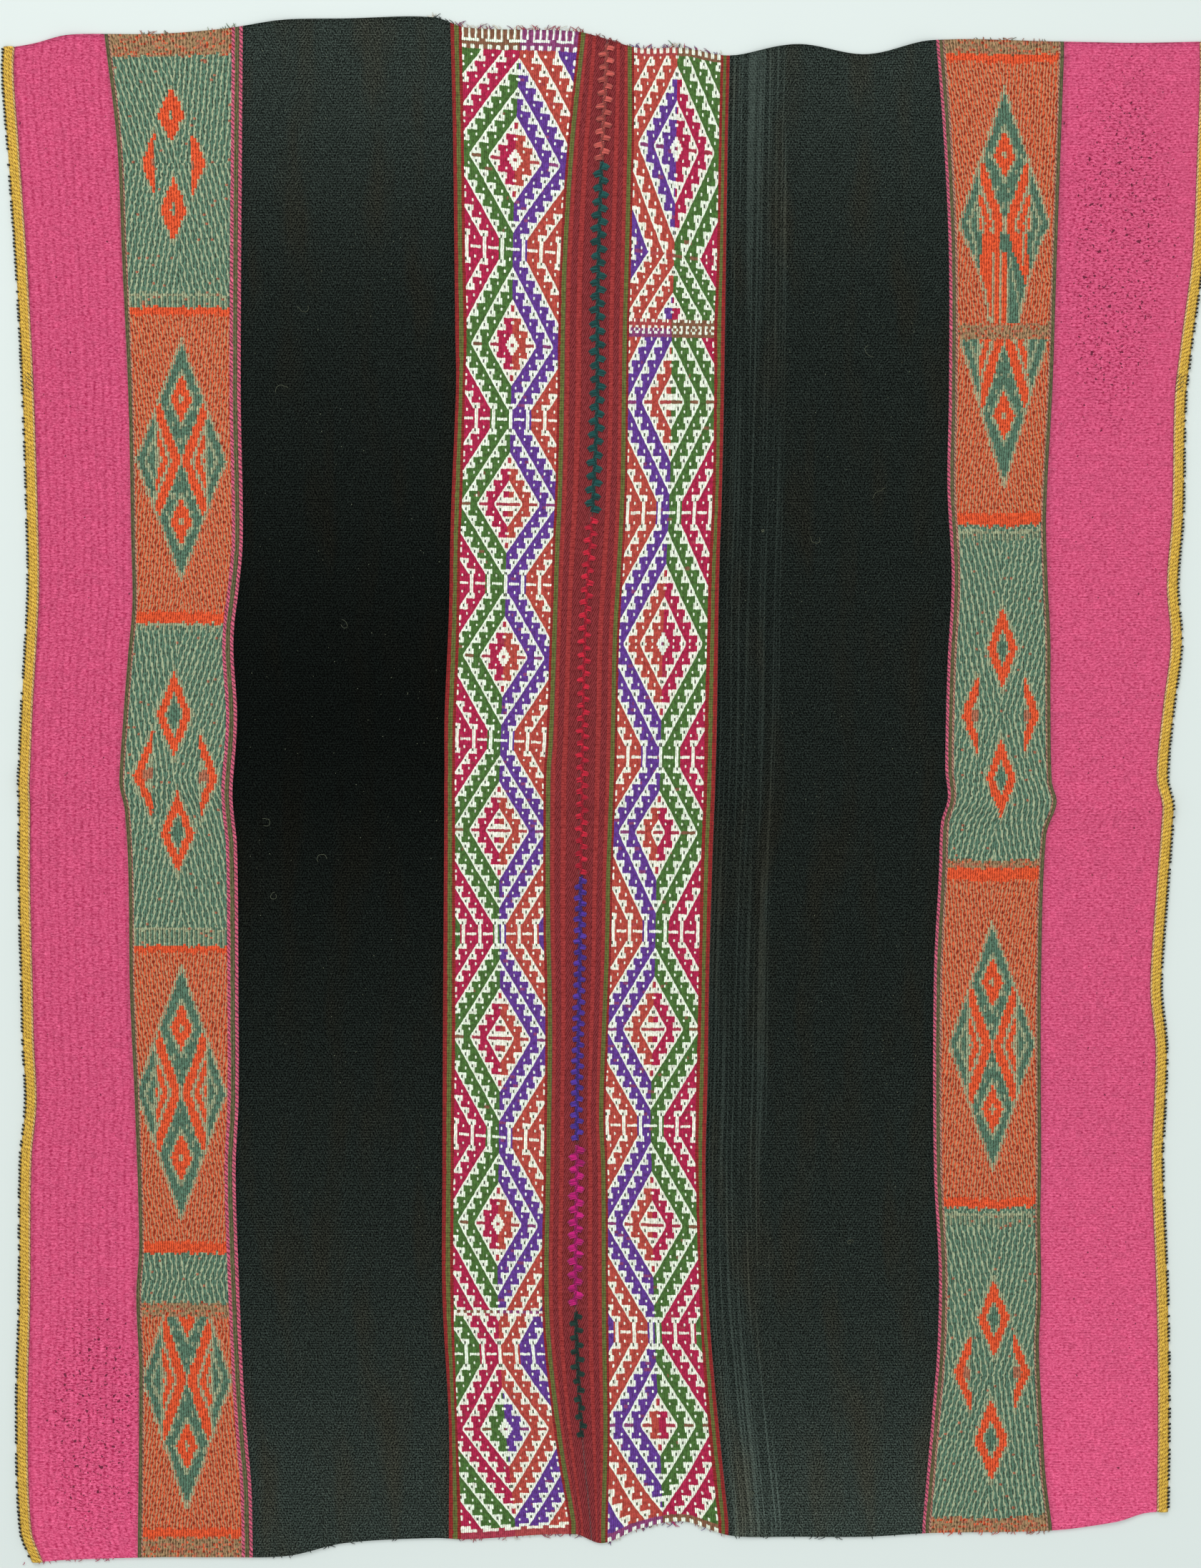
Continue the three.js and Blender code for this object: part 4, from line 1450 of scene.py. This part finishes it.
class CLOTH_OT_side_bands(bpy.types.Operator):
    """Weaves the two side bands of slanted floats with the cords beside them"""

    bl_idname = "cloth.side_bands"
    bl_label = "Side bands"

    def execute(self, context):
        material = side_wool()
        outer = pixel_line(LEFT_PINK_EDGE)
        black = pixel_line(LEFT_BLACK_START)
        start, end = pixel_line(LEFT_PINK_EDGE, 7), pixel_line(LEFT_BLACK_START, -15.5)
        add_strip("left_side", [
            (outer, pixel_line(LEFT_PINK_EDGE, 5), 2, plain_cells("olive_line", PLAIN, 0.06, 41)),
            (pixel_line(LEFT_PINK_EDGE, 5), start, 1, cord_cells("edge_tick", 42)),
            (start, end, SIDE_COLUMNS,
             side_cells("left", LEFT_SIDE_PARTS, LEFT_MOTIFS, start, end, 43)),
            (end, pixel_line(LEFT_BLACK_START, -11), 2, cord_cells("lilac", 44)),
            (pixel_line(LEFT_BLACK_START, -11), pixel_line(LEFT_BLACK_START, -4.8), 2,
             plain_cells("olive_line", PLAIN, 0.06, 45)),
            (pixel_line(LEFT_BLACK_START, -4.8), black, 2, cord_cells("lilac", 46)),
        ], even_levels(40, 2178, SIDE_ROW), None, material, 0.08)
        black = pixel_line(RIGHT_BLACK_END)
        outer = pixel_line(RIGHT_PINK_EDGE)
        start, end = pixel_line(RIGHT_BLACK_END, 12), pixel_line(RIGHT_PINK_EDGE, -7)
        add_strip("right_side", [
            (black, pixel_line(RIGHT_BLACK_END, 4.2), 2, cord_cells("lilac", 47)),
            (pixel_line(RIGHT_BLACK_END, 4.2), pixel_line(RIGHT_BLACK_END, 9), 2,
             plain_cells("olive_line", PLAIN, 0.06, 48)),
            (pixel_line(RIGHT_BLACK_END, 9), start, 2, cord_cells("edge_tick", 49)),
            (start, end, SIDE_COLUMNS,
             side_cells("right", RIGHT_SIDE_PARTS, RIGHT_MOTIFS, start, end, 50)),
            (end, pixel_line(RIGHT_PINK_EDGE, -5), 1, cord_cells("edge_tick", 51)),
            (pixel_line(RIGHT_PINK_EDGE, -5), outer, 2, plain_cells("olive_line", PLAIN, 0.06, 52)),
        ], even_levels(59, 2142, SIDE_ROW), None, material, 0.08)
        return {"FINISHED"}


class Strands:
    """Collects round strands of yarn and makes one mesh of them."""

    def __init__(self):
        self.verts, self.quads, self.tones, self.warp = [], [], [], []
        self.count = 0

    def add(self, points, radius, tone, sides=5):
        """One strand through the points, in metres, with closed ends."""
        points = np.asarray(points, dtype=float)
        ahead = np.gradient(points, axis=0)
        ahead /= np.maximum(np.linalg.norm(ahead, axis=1, keepdims=True), 1e-9)
        side = np.cross(ahead, (0.0, 0.0, 1.0))
        weak = np.linalg.norm(side, axis=1) < 0.2
        side[weak] = np.cross(ahead[weak], (1.0, 0.0, 0.0))
        side /= np.linalg.norm(side, axis=1, keepdims=True)
        over = np.cross(side, ahead)
        radii = np.broadcast_to(np.asarray(radius, dtype=float), (len(points),))
        turn = np.linspace(0, 2 * math.pi, sides, endpoint=False)
        ring = (points[:, None, :]
                + radii[:, None, None] * np.cos(turn)[None, :, None] * side[:, None, :]
                + radii[:, None, None] * np.sin(turn)[None, :, None] * over[:, None, :])
        n = len(points)
        k, s = np.meshgrid(np.arange(n - 1), np.arange(sides), indexing="ij")
        a = k * sides + s
        b = k * sides + (s + 1) % sides
        quads = np.stack([a, b, b + sides, a + sides], axis=-1).reshape(-1, 4)
        tips = np.array([points[0] - ahead[0] * radii[0] * 0.6, points[-1] + ahead[-1] * radii[-1] * 0.6])
        s = np.arange(sides)
        first = np.stack([s, np.full(sides, n * sides), np.full(sides, n * sides), (s + 1) % sides], -1)
        last_ring = (n - 1) * sides
        last = np.stack([last_ring + s, last_ring + (s + 1) % sides,
                         np.full(sides, n * sides + 1), np.full(sides, n * sides + 1)], axis=-1)
        length = np.concatenate([[0], np.cumsum(np.linalg.norm(np.diff(points, axis=0), axis=1))])
        warp = np.stack(np.broadcast_arrays(turn[None, :] * 0.0004, length[:, None]), axis=-1)
        self.verts.append(np.concatenate([ring.reshape(-1, 3), tips]))
        self.warp.append(np.concatenate([warp.reshape(-1, 2), [[0, 0], [0, length[-1]]]]))
        tube = np.concatenate([quads, first, last]) + self.count
        self.quads.append(tube)
        self.tones.append(np.tile(np.asarray(tone, dtype=float), (len(tube), 1)))
        self.count += n * sides + 2

    def mesh(self, name):
        """The mesh of every strand, with its dye and warp."""
        lists = (self.verts, self.quads, self.tones, self.warp)
        verts, quads, tones, warp = (np.concatenate(parts) for parts in lists)
        faces = [tuple(dict.fromkeys(q)) for q in quads.tolist()]
        mesh = bpy.data.meshes.new(name)
        mesh.from_pydata(verts.tolist(), [], faces)
        mesh.polygons.foreach_set("use_smooth", np.ones(len(faces), dtype=bool))
        sizes = np.array([len(f) for f in faces])
        colour_corners(mesh, "Dye", np.repeat(opaque(tones), sizes, axis=0))
        map_corners(mesh, "Warp", warp[np.concatenate([np.array(f) for f in faces])])
        return mesh


def yarn_material(name, ply=0.0011):
    """Spun yarn: the strand's dye, its plies twisting along it, and soft fibres."""
    n = Nodes(name)
    dye_colour = n.node("ShaderNodeAttribute", attribute_name="Dye").outputs["Color"]
    warp = n.node("ShaderNodeUVMap", uv_map="Warp").outputs[0]
    ways = n.node("ShaderNodeSeparateXYZ", {0: warp})
    twist = n.wave(n.math("ADD", n.math("DIVIDE", ways.outputs[0], 0.00125),
                          n.math("DIVIDE", ways.outputs[1], ply)))
    fibre = n.noise(n.node("ShaderNodeMapping", {
        "Vector": warp, "Scale": (3000.0, 900.0, 1.0)}).outputs[0], 1.0, 3.0)
    shade = n.math("MULTIPLY_ADD", twist, 0.35, 0.68)
    shade = n.math("MULTIPLY_ADD", fibre, 0.35, n.math("SUBTRACT", shade, 0.15))
    colour = n.blend("MULTIPLY", 1.0, dye_colour, n.grey(shade))
    height = n.math("MULTIPLY_ADD", fibre, 0.3, n.math("MULTIPLY", twist, 0.4))
    return n.finish(colour, height, 0.85, 0.2, 0.6, 0.2, 0.0006)


def surface(x, y, above=0.0):
    """A point on the top of the cloth, or that far above it."""
    return (float(x), float(y), float(lift(x, y)) + THICKNESS + above)


def braid_material():
    """Yellow braid: four lengthwise rows of slanted strands, with small gaps between them darkened as
    painted shade.
    """
    n = Nodes("edging_braid")
    dye_colour = n.node("ShaderNodeAttribute", attribute_name="Dye").outputs["Color"]
    warp = n.node("ShaderNodeUVMap", uv_map="Warp").outputs[0]
    ways = n.node("ShaderNodeSeparateXYZ", {0: warp})
    wander = n.noise(warp, 160.0)
    rows = n.math("DIVIDE", ways.outputs[0], 0.00225)
    stroke = n.edge(n.total(0.0, (n.math("FRACT", rows), -0.85), (ways.outputs[1], 1 / 0.0031),
                            (wander, 1.1), (n.math("FLOOR", rows), -0.33)))
    gap = n.math("MULTIPLY", n.ramp(stroke, 0.56, 0.94), n.ramp(n.edge(rows), 1.05, 0.30))
    lumps = n.noise(warp, 420.0, 3.0)
    fibre = n.noise(warp, 1500.0, 2.0)
    # Painted shade: the gaps between the strands darken the share; lumps and fibre are mottling.
    share = n.total(-0.42, (gap, -0.95), (lumps, 1.3), (fibre, 0.7))
    colour = n.tones(dye_colour, share, (0.36, 0.30, 0.24), (1.14, 1.18, 1.35))
    height = n.total(0.0, (gap, -0.6), (lumps, 0.3), (fibre, 0.3))
    return n.finish(colour, height, 0.82, 0.15, 0.7, 0.2)


class CLOTH_OT_seam(bpy.types.Operator):
    """Sews the runs of coloured leaf stitches down the seam"""

    bl_idname = "cloth.seam"
    bl_label = "Seam"

    def execute(self, context):
        material = yarn_material("seam_yarn")
        radius = context.scene.cloth_sizes.yarn / 2
        for number, (name, tone_name, top, bottom, reach, step, strands) in enumerate(SEAM_RUNS):
            rng = np.random.default_rng(60 + number)
            yarn = Strands()
            tone = dye(tone_name)
            level = top + 5
            side = 1
            while level < bottom - 5:
                wide = reach * rng.uniform(0.9, 1.08)
                pace = step
                if name == "seam_dark_green" and level > SMALL_LEAVES_FROM:
                    wide *= 0.75
                    pace *= 1.25
                self.leaf(yarn, rng, level, side, wide, strands, radius, tone)
                level += pace * rng.uniform(0.92, 1.08)
                side = -side
            place(yarn.mesh(name), name + "_yarn", material, name.replace("seam", "seam_yarn", 1), name)
        return {"FINISHED"}

    @staticmethod
    def leaf(yarn, rng, level, side, reach, strands, radius, tone):
        """One leaf: a few strands side by side from the middle down and outward, and a short dark strand
        across the middle as painted shadow.
        """
        spacing = 2.3
        for k in range(strands):
            shade = rng.uniform(0.55, 1.3)
            drop = (k - (strands - 1) / 2) * spacing
            short = 1 - 0.13 * abs(k - (strands - 1) / 2)
            path = []
            for t in np.linspace(0, 1, 7):
                px = side * (-2.0 + (reach * short + 2.0) * t)
                py = level + drop * (1 - 0.25 * t * t) + 2.6 * t + 0.6 * math.sin(t * 3 + k)
                y = float(y_at(py))
                x = float(seam_line(y)) + px * METRES_PER_PIXEL
                arch = math.sin(math.pi * min(max(t, 0.02), 0.98)) ** 0.5
                path.append(surface(x, y, -0.0004 + 0.0014 * arch))
            yarn.add(path, radius * rng.uniform(0.9, 1.15), np.clip(tone * shade, 0, 1))
        # Painted shadow: a short dark strand across the middle of the leaf
        path = []
        for t in np.linspace(0, 1, 5):
            py = level - 5.5 + 10.5 * t
            y = float(y_at(py))
            x = float(seam_line(y)) + side * (2.2 - 4.4 * t) * METRES_PER_PIXEL
            path.append(surface(x, y, 0.0006 + 0.0005 * math.sin(math.pi * t)))
        yarn.add(path, radius * 1.1, np.clip(tone * 0.45, 0, 1))


class CLOTH_OT_edgings(bpy.types.Operator):
    """Weaves the tubular edgings and the black stitches along their outer sides"""

    bl_idname = "cloth.edgings"
    bl_label = "Edgings"

    def execute(self, context):
        braid, yarn = braid_material(), yarn_material("edging_yarn", 0.0016)
        for name, selvedge, outward, seed in (
            ("edging_left", left_selvedge, -1, 71),
            ("edging_right", right_selvedge, 1, 72),
        ):
            place(self.tube(name, selvedge, outward, seed), name + "_tube", braid,
                  "tubular_edging", name)
            place(self.stitches(name, selvedge, outward, seed), name + "_stitches", yarn,
                  "tubular_edging", name)
        return {"FINISHED"}

    @staticmethod
    def ends(selvedge):
        """The first and last level of an edging."""
        top = float(top_end(selvedge(0.59)))
        bottom = float(bottom_end(selvedge(-0.58)))
        return top, bottom

    def tube(self, name, selvedge, outward, seed):
        """A tube flat beneath and rounded above, ticked along its inner side, where it is pale as a
        painted highlight; its lowered hollows are darkened as painted shade.
        """
        rng = np.random.default_rng(seed)
        top, bottom = self.ends(selvedge)
        rings, sides = EDGING_RINGS, EDGING_SIDES
        y = np.linspace(top, bottom, rings)
        inner = selvedge(y) + outward * PIECE_GAP
        base = lift(inner, y)
        angle = np.linspace(0, math.pi, sides)
        across = EDGING_WIDTH / 2 * (1 - np.cos(angle))
        k, s = np.meshgrid(np.arange(rings - 1), np.arange(sides - 1), indexing="ij")
        hollow = (k + (s * 0.5).astype(int)) % 4 == 0
        lowered = np.zeros((rings, sides))
        lowered[:-1, :-1] = np.where(hollow, -0.0002, 0.0001)
        z = base[:, None] + EDGING_THICKNESS * np.sin(angle)[None, :] + lowered * np.sin(angle)
        z = np.maximum(z, base[:, None])
        x = inner[:, None] + outward * across[None, :]
        verts = np.stack([x, np.tile(y[:, None], (1, sides)), z], axis=-1).reshape(-1, 3)
        a = k * sides + s
        quads = np.stack([a, a + sides, a + sides + 1, a + 1], axis=-1).reshape(-1, 4)
        kk = np.arange(rings - 1) * sides
        beneath = np.stack([kk + sides - 1, kk + 2 * sides - 1, kk + sides, kk], axis=-1)
        quads = np.concatenate([quads, beneath])
        if outward < 0:
            quads = quads[:, ::-1]
        caps = [tuple(range(sides)), tuple((rings - 1) * sides + i for i in range(sides))[::-1]]
        if outward < 0:
            caps = [c[::-1] for c in caps]
        mesh = bpy.data.meshes.new(name)
        mesh.from_pydata(verts.tolist(), [], quads.tolist() + caps)
        mesh.polygons.foreach_set("use_smooth", np.ones(len(quads) + 2, dtype=bool))
        yellow = dye("yellow")
        shade = rng.normal(1.0, 0.10, size=k.shape)[..., None]
        # Painted highlight: the innermost faces are pale cream instead of yellow
        tones = np.where((s <= 2)[..., None], dye("peach") * shade, yellow * shade)
        # Painted shade: the lowered hollows are darkened
        tones = np.where((hollow & (s > 2))[..., None], tones * 0.86, tones)
        tick = ((k % 7) < 1) & (s <= 1)
        tones = np.where(tick[..., None], dye("mixed"), tones)
        dark = (np.abs(y[:-1] - y_at(DARK_BRAID_LEVEL)) < 0.007)[:, None] & ((k + s) % 4 == 0) & (s < 7)
        tones = np.where(dark[..., None], dye("olive_line"), tones)
        tones = np.concatenate([tones.reshape(-1, 3), np.tile(yellow * 0.8, (rings - 1, 1))])
        corner = np.repeat(tones, 4, axis=0)
        corner = np.concatenate([corner, np.tile(yellow * 0.7, (2 * sides, 1))])
        colour_corners(mesh, "Dye", np.clip(opaque(corner), 0, 1))
        warp = np.stack([np.tile(across, (rings, 1)), np.tile(y[:, None], (1, sides))], axis=-1)
        corners = np.concatenate([quads.ravel(), np.array(caps[0]), np.array(caps[1])])
        map_corners(mesh, "Warp", warp.reshape(-1, 2)[corners])
        return mesh

    def stitches(self, name, selvedge, outward, seed):
        """Short slanted black stitches in the outer side of the tube, a few left out."""
        rng = np.random.default_rng(seed + 5)
        yarn = Strands()
        top, bottom = self.ends(selvedge)
        y = top - 0.002
        while y > bottom + 0.003:
            x = float(selvedge(y)) + outward * (PIECE_GAP + EDGING_WIDTH)
            half = rng.uniform(0.0003, 0.0006)
            out = rng.uniform(0.0004, 0.0009)
            base = float(lift(x, y))
            path = [
                (x + outward * out, y + half, base + 0.0009),
                (x + outward * (out - 0.0002), y + half * 0.3, base + 0.0017),
                (x - outward * 0.0004, y - half * 0.4, base + 0.0023),
                (x - outward * 0.0012, y - half, base + 0.0026),
            ]
            if rng.random() > 0.14:
                yarn.add(path, (0.0006, 0.0008, 0.0008, 0.0006),
                         dye("ink") * rng.uniform(0.5, 1.2), 5)
            y -= rng.uniform(0.0027, 0.0036)
        return yarn.mesh(name + "_stitches")


class CLOTH_OT_loose_threads(bpy.types.Operator):
    """Adds the frayed ends, the lint on the black and the pills on the pink"""

    bl_idname = "cloth.loose_threads"
    bl_label = "Loose threads"

    def execute(self, context):
        material = yarn_material("loose_yarn")
        rng = np.random.default_rng(81)
        yarn = Strands()
        frays = (
            # x from, x to, end, count, length in pixels, dyes
            (596, 640, "top", 12, 7, ("black", "black", "white")),
            (640, 815, "top", 80, 7, ("white", "crimson", "plum", "white", "mixed")),
            (815, 885, "top", 16, 5, ("red", "twill_red")),
            (887, 1010, "top", 46, 6, ("purple", "plum", "white", "crimson")),
            (938, 952, "top", 5, 11, ("white", "green")),
            (195, 330, "top", 16, 5, ("muted_orange", "side_green", "sage")),
            (310, 330, "top", 3, 9, ("green", "side_green")),
            (1320, 1480, "top", 16, 4, ("muted_orange", "olive_line")),
            (640, 810, "bottom", 40, 5, ("plum", "crimson", "white")),
            (850, 1010, "bottom", 40, 5, ("plum", "purple", "white", "mixed")),
            (926, 944, "bottom", 6, 12, ("magenta", "purple", "lilac")),
            (1020, 1290, "bottom", 14, 4, ("ink", "black")),
            (1310, 1470, "bottom", 24, 5, ("muted_orange", "mixed", "orange_red")),
            (20, 180, "bottom", 18, 4, ("pink", "lilac")),
            (345, 620, "bottom", 14, 4, ("ink", "black")),
        )
        for x0, x1, end, count, length, names in frays:
            for _ in range(count):
                self.fray(yarn, rng, rng.uniform(x0, x1), end, length, names)
        left = self.finish(yarn, "frayed_ends", material, "panel_left")
        lint = Strands()
        for x0, x1, y0, y1, count, low, high, name in (
            (350, 615, 60, 2130, 260, 0.00010, 0.00022, "sage"),
            (1030, 1300, 90, 2130, 240, 0.00010, 0.00022, "sage"),
            (60, 170, 100, 2150, 60, 0.00018, 0.00036, "twill_red"),
            (85, 185, 1850, 2140, 90, 0.00020, 0.00042, "twill_red"),
            (1500, 1630, 90, 2100, 60, 0.00018, 0.00036, "twill_red"),
            (1500, 1660, 90, 620, 80, 0.00020, 0.00042, "twill_red"),
        ):
            for _ in range(count):
                self.speck(lint, rng, x0, x1, y0, y1, rng.uniform(low, high), dye(name))
        for x0, x1 in ((350, 615), (1030, 1300)):
            for _ in range(6):
                self.hair(lint, rng, rng.uniform(x0, x1), rng.uniform(100, 2100))
        self.finish(lint, "lint_and_pills", material, "panel_right")
        return {"FINISHED"}

    @staticmethod
    def finish(yarn, name, material, node):
        """Makes the strands one piece that goes with its panel."""
        return place(yarn.mesh(name), name, material, "handwoven_panel", node)

    @staticmethod
    def fray(yarn, rng, px, end, length, names):
        """One loose thread that leaves an end of the weaving."""
        x = float(x_at(px))
        outward = 1 if end == "top" else -1
        y = float(top_end(x) if end == "top" else bottom_end(x)) - outward * 0.001
        reach = length * METRES_PER_PIXEL * rng.uniform(0.4, 1.5)
        lean = rng.normal(0, 0.6)
        curl = rng.normal(0, 0.5)
        path = []
        for t in np.linspace(0, 1, 6):
            path.append((x + reach * (lean * t + curl * t * t),
                         y + outward * (0.001 + reach * (t - 0.25 * t * t)),
                         float(lift(x, y)) + 0.0012 - 0.0008 * t + 0.0003))
        tone = dye(names[rng.integers(len(names))]) * rng.uniform(0.8, 1.1)
        yarn.add(path, np.linspace(0.00038, 0.00018, 6), np.clip(tone, 0, 1), 4)

    @staticmethod
    def speck(yarn, rng, x0, x1, y0, y1, radius, tone):
        """One speck of lint or one pill of fibre."""
        x = float(x_at(rng.uniform(x0, x1)))
        y = float(y_at(rng.uniform(y0, y1)))
        a = rng.uniform(0, 2 * math.pi)
        dx, dy = math.cos(a) * radius * 1.6, math.sin(a) * radius * 1.6
        path = [surface(x - dx, y - dy, -0.0001), surface(x, y, radius * 0.4),
                surface(x + dx, y + dy, -0.0001)]
        yarn.add(path, (radius * 0.5, radius, radius * 0.5), tone, 4)

    @staticmethod
    def hair(yarn, rng, px, py):
        """One pale curly hair lying on the cloth."""
        x, y = float(x_at(px)), float(y_at(py))
        a = rng.uniform(0, 2 * math.pi)
        bend = rng.normal(0, 0.35)
        path = []
        for _ in range(14):
            path.append(surface(x, y, 0.0001))
            x += 0.0011 * math.cos(a)
            y += 0.0011 * math.sin(a)
            a += bend + rng.normal(0, 0.25)
        yarn.add(path, 0.00009, dye("sage") * 0.6, 4)


class CLOTH_OT_lay(bpy.types.Operator):
    """Looks up the pieces that go with each laid strip"""

    bl_idname = "cloth.lay"
    bl_label = "Lay the strips"

    def execute(self, context):
        objects = bpy.data.objects
        worn_with = {
            "left_pink": ["edging_left_tube", "edging_left_stitches"],
            "right_pink": ["edging_right_tube", "edging_right_stitches"],
            "left_red": [run[0] + "_yarn" for run in SEAM_RUNS],
            "left_black": ["frayed_ends"],
            "right_black": ["lint_and_pills"],
        }
        for name, flat in FLAT_SIZES.items():
            [objects[other] for other in worn_with.get(name, [])]
        return {"FINISHED"}


class CLOTH_OT_stage(bpy.types.Operator):
    """Sets up the plain floor, the soft light and the camera"""

    bl_idname = "cloth.stage"
    bl_label = "Stage"

    def execute(self, context):
        scene = context.scene
        mesh = bpy.data.meshes.new("floor")
        corners = [(x * FLOOR_HALF, y * FLOOR_HALF, FLOOR_LEVEL)
                   for x, y in ((-1, -1), (1, -1), (1, 1), (-1, 1))]
        mesh.from_pydata(corners, [], [(0, 1, 2, 3)])
        floor = bpy.data.objects.new("floor", mesh)
        scene.collection.objects.link(floor)
        n = Nodes("floor_paint")
        n.shader.inputs["Base Color"].default_value = paint("floor")
        n.shader.inputs["Roughness"].default_value = 0.9
        mesh.materials.append(n.material)
        world = bpy.data.worlds.new("soft_room")
        world.use_nodes = True
        world.node_tree.nodes["Background"].inputs[0].default_value = (0.93, 1.0, 0.97, 1.0)
        world.node_tree.nodes["Background"].inputs[1].default_value = 0.62
        scene.world = world
        for name, spot, energy, size in (
            ("window", (-0.7, 1.9, 2.3), 34.0, 1.6),
            ("ceiling", (0.4, -0.8, 3.0), 30.0, 3.0),
        ):
            light = bpy.data.lights.new(name, "AREA")
            light.energy = energy
            light.size = size
            lamp = bpy.data.objects.new(name, light)
            lamp.location = spot
            aim = np.array(spot)
            yaw = math.atan2(aim[1], aim[0])
            tilt = math.atan2(math.hypot(aim[0], aim[1]), aim[2])
            lamp.rotation_euler = (0.0, tilt, yaw)
            scene.collection.objects.link(lamp)
        camera = bpy.data.cameras.new("camera")
        camera.sensor_fit = "VERTICAL"
        camera.sensor_height = SENSOR_HEIGHT
        camera.lens = SENSOR_HEIGHT * CAMERA_HEIGHT / (PHOTO_HEIGHT * METRES_PER_PIXEL)
        eye = bpy.data.objects.new("camera", camera)
        eye.location = (float(x_at(PHOTO_WIDTH / 2)), float(y_at(PHOTO_HEIGHT / 2)),
                        CAMERA_HEIGHT)
        scene.collection.objects.link(eye)
        scene.camera = eye
        scene.view_settings.view_transform = "Standard"
        return {"FINISHED"}


class CLOTH_PT_panel(bpy.types.Panel):
    """Lists the steps that make the cloth"""

    bl_label = "Cloth"
    bl_idname = "CLOTH_PT_panel"
    bl_space_type = "VIEW_3D"
    bl_region_type = "UI"
    bl_category = "Cloth"

    def draw(self, context):
        for step in STEPS:
            self.layout.operator(step.bl_idname)
        for group in (context.scene.cloth_sizes, context.scene.cloth_colours):
            for key in group.__annotations__:
                self.layout.prop(group, key)


STEPS = (
    CLOTH_OT_stage,
    CLOTH_OT_edgings,
    CLOTH_OT_plain_strips,
    CLOTH_OT_side_bands,
    CLOTH_OT_pattern_bands,
    CLOTH_OT_seam,
    CLOTH_OT_loose_threads,
    CLOTH_OT_lay,
)
CLASSES = (ClothSizes, ClothColours) + STEPS + (CLOTH_PT_panel,)


def register():
    """Registers the classes, the sizes and the colours."""
    for kind in CLASSES:
        bpy.utils.register_class(kind)
    bpy.types.Scene.cloth_sizes = bpy.props.PointerProperty(type=ClothSizes)
    bpy.types.Scene.cloth_colours = bpy.props.PointerProperty(type=ClothColours)


def unregister():
    """Takes the classes, the sizes and the colours away again."""
    del bpy.types.Scene.cloth_colours
    del bpy.types.Scene.cloth_sizes
    for kind in reversed(CLASSES):
        bpy.utils.unregister_class(kind)


def main():
    """Makes every piece in order."""
    register()
    bpy.ops.cloth.stage()
    bpy.ops.cloth.edgings()
    bpy.ops.cloth.plain_strips()
    bpy.ops.cloth.side_bands()
    bpy.ops.cloth.pattern_bands()
    bpy.ops.cloth.seam()
    bpy.ops.cloth.loose_threads()
    bpy.ops.cloth.lay()


if __name__ == "__main__":
    main()
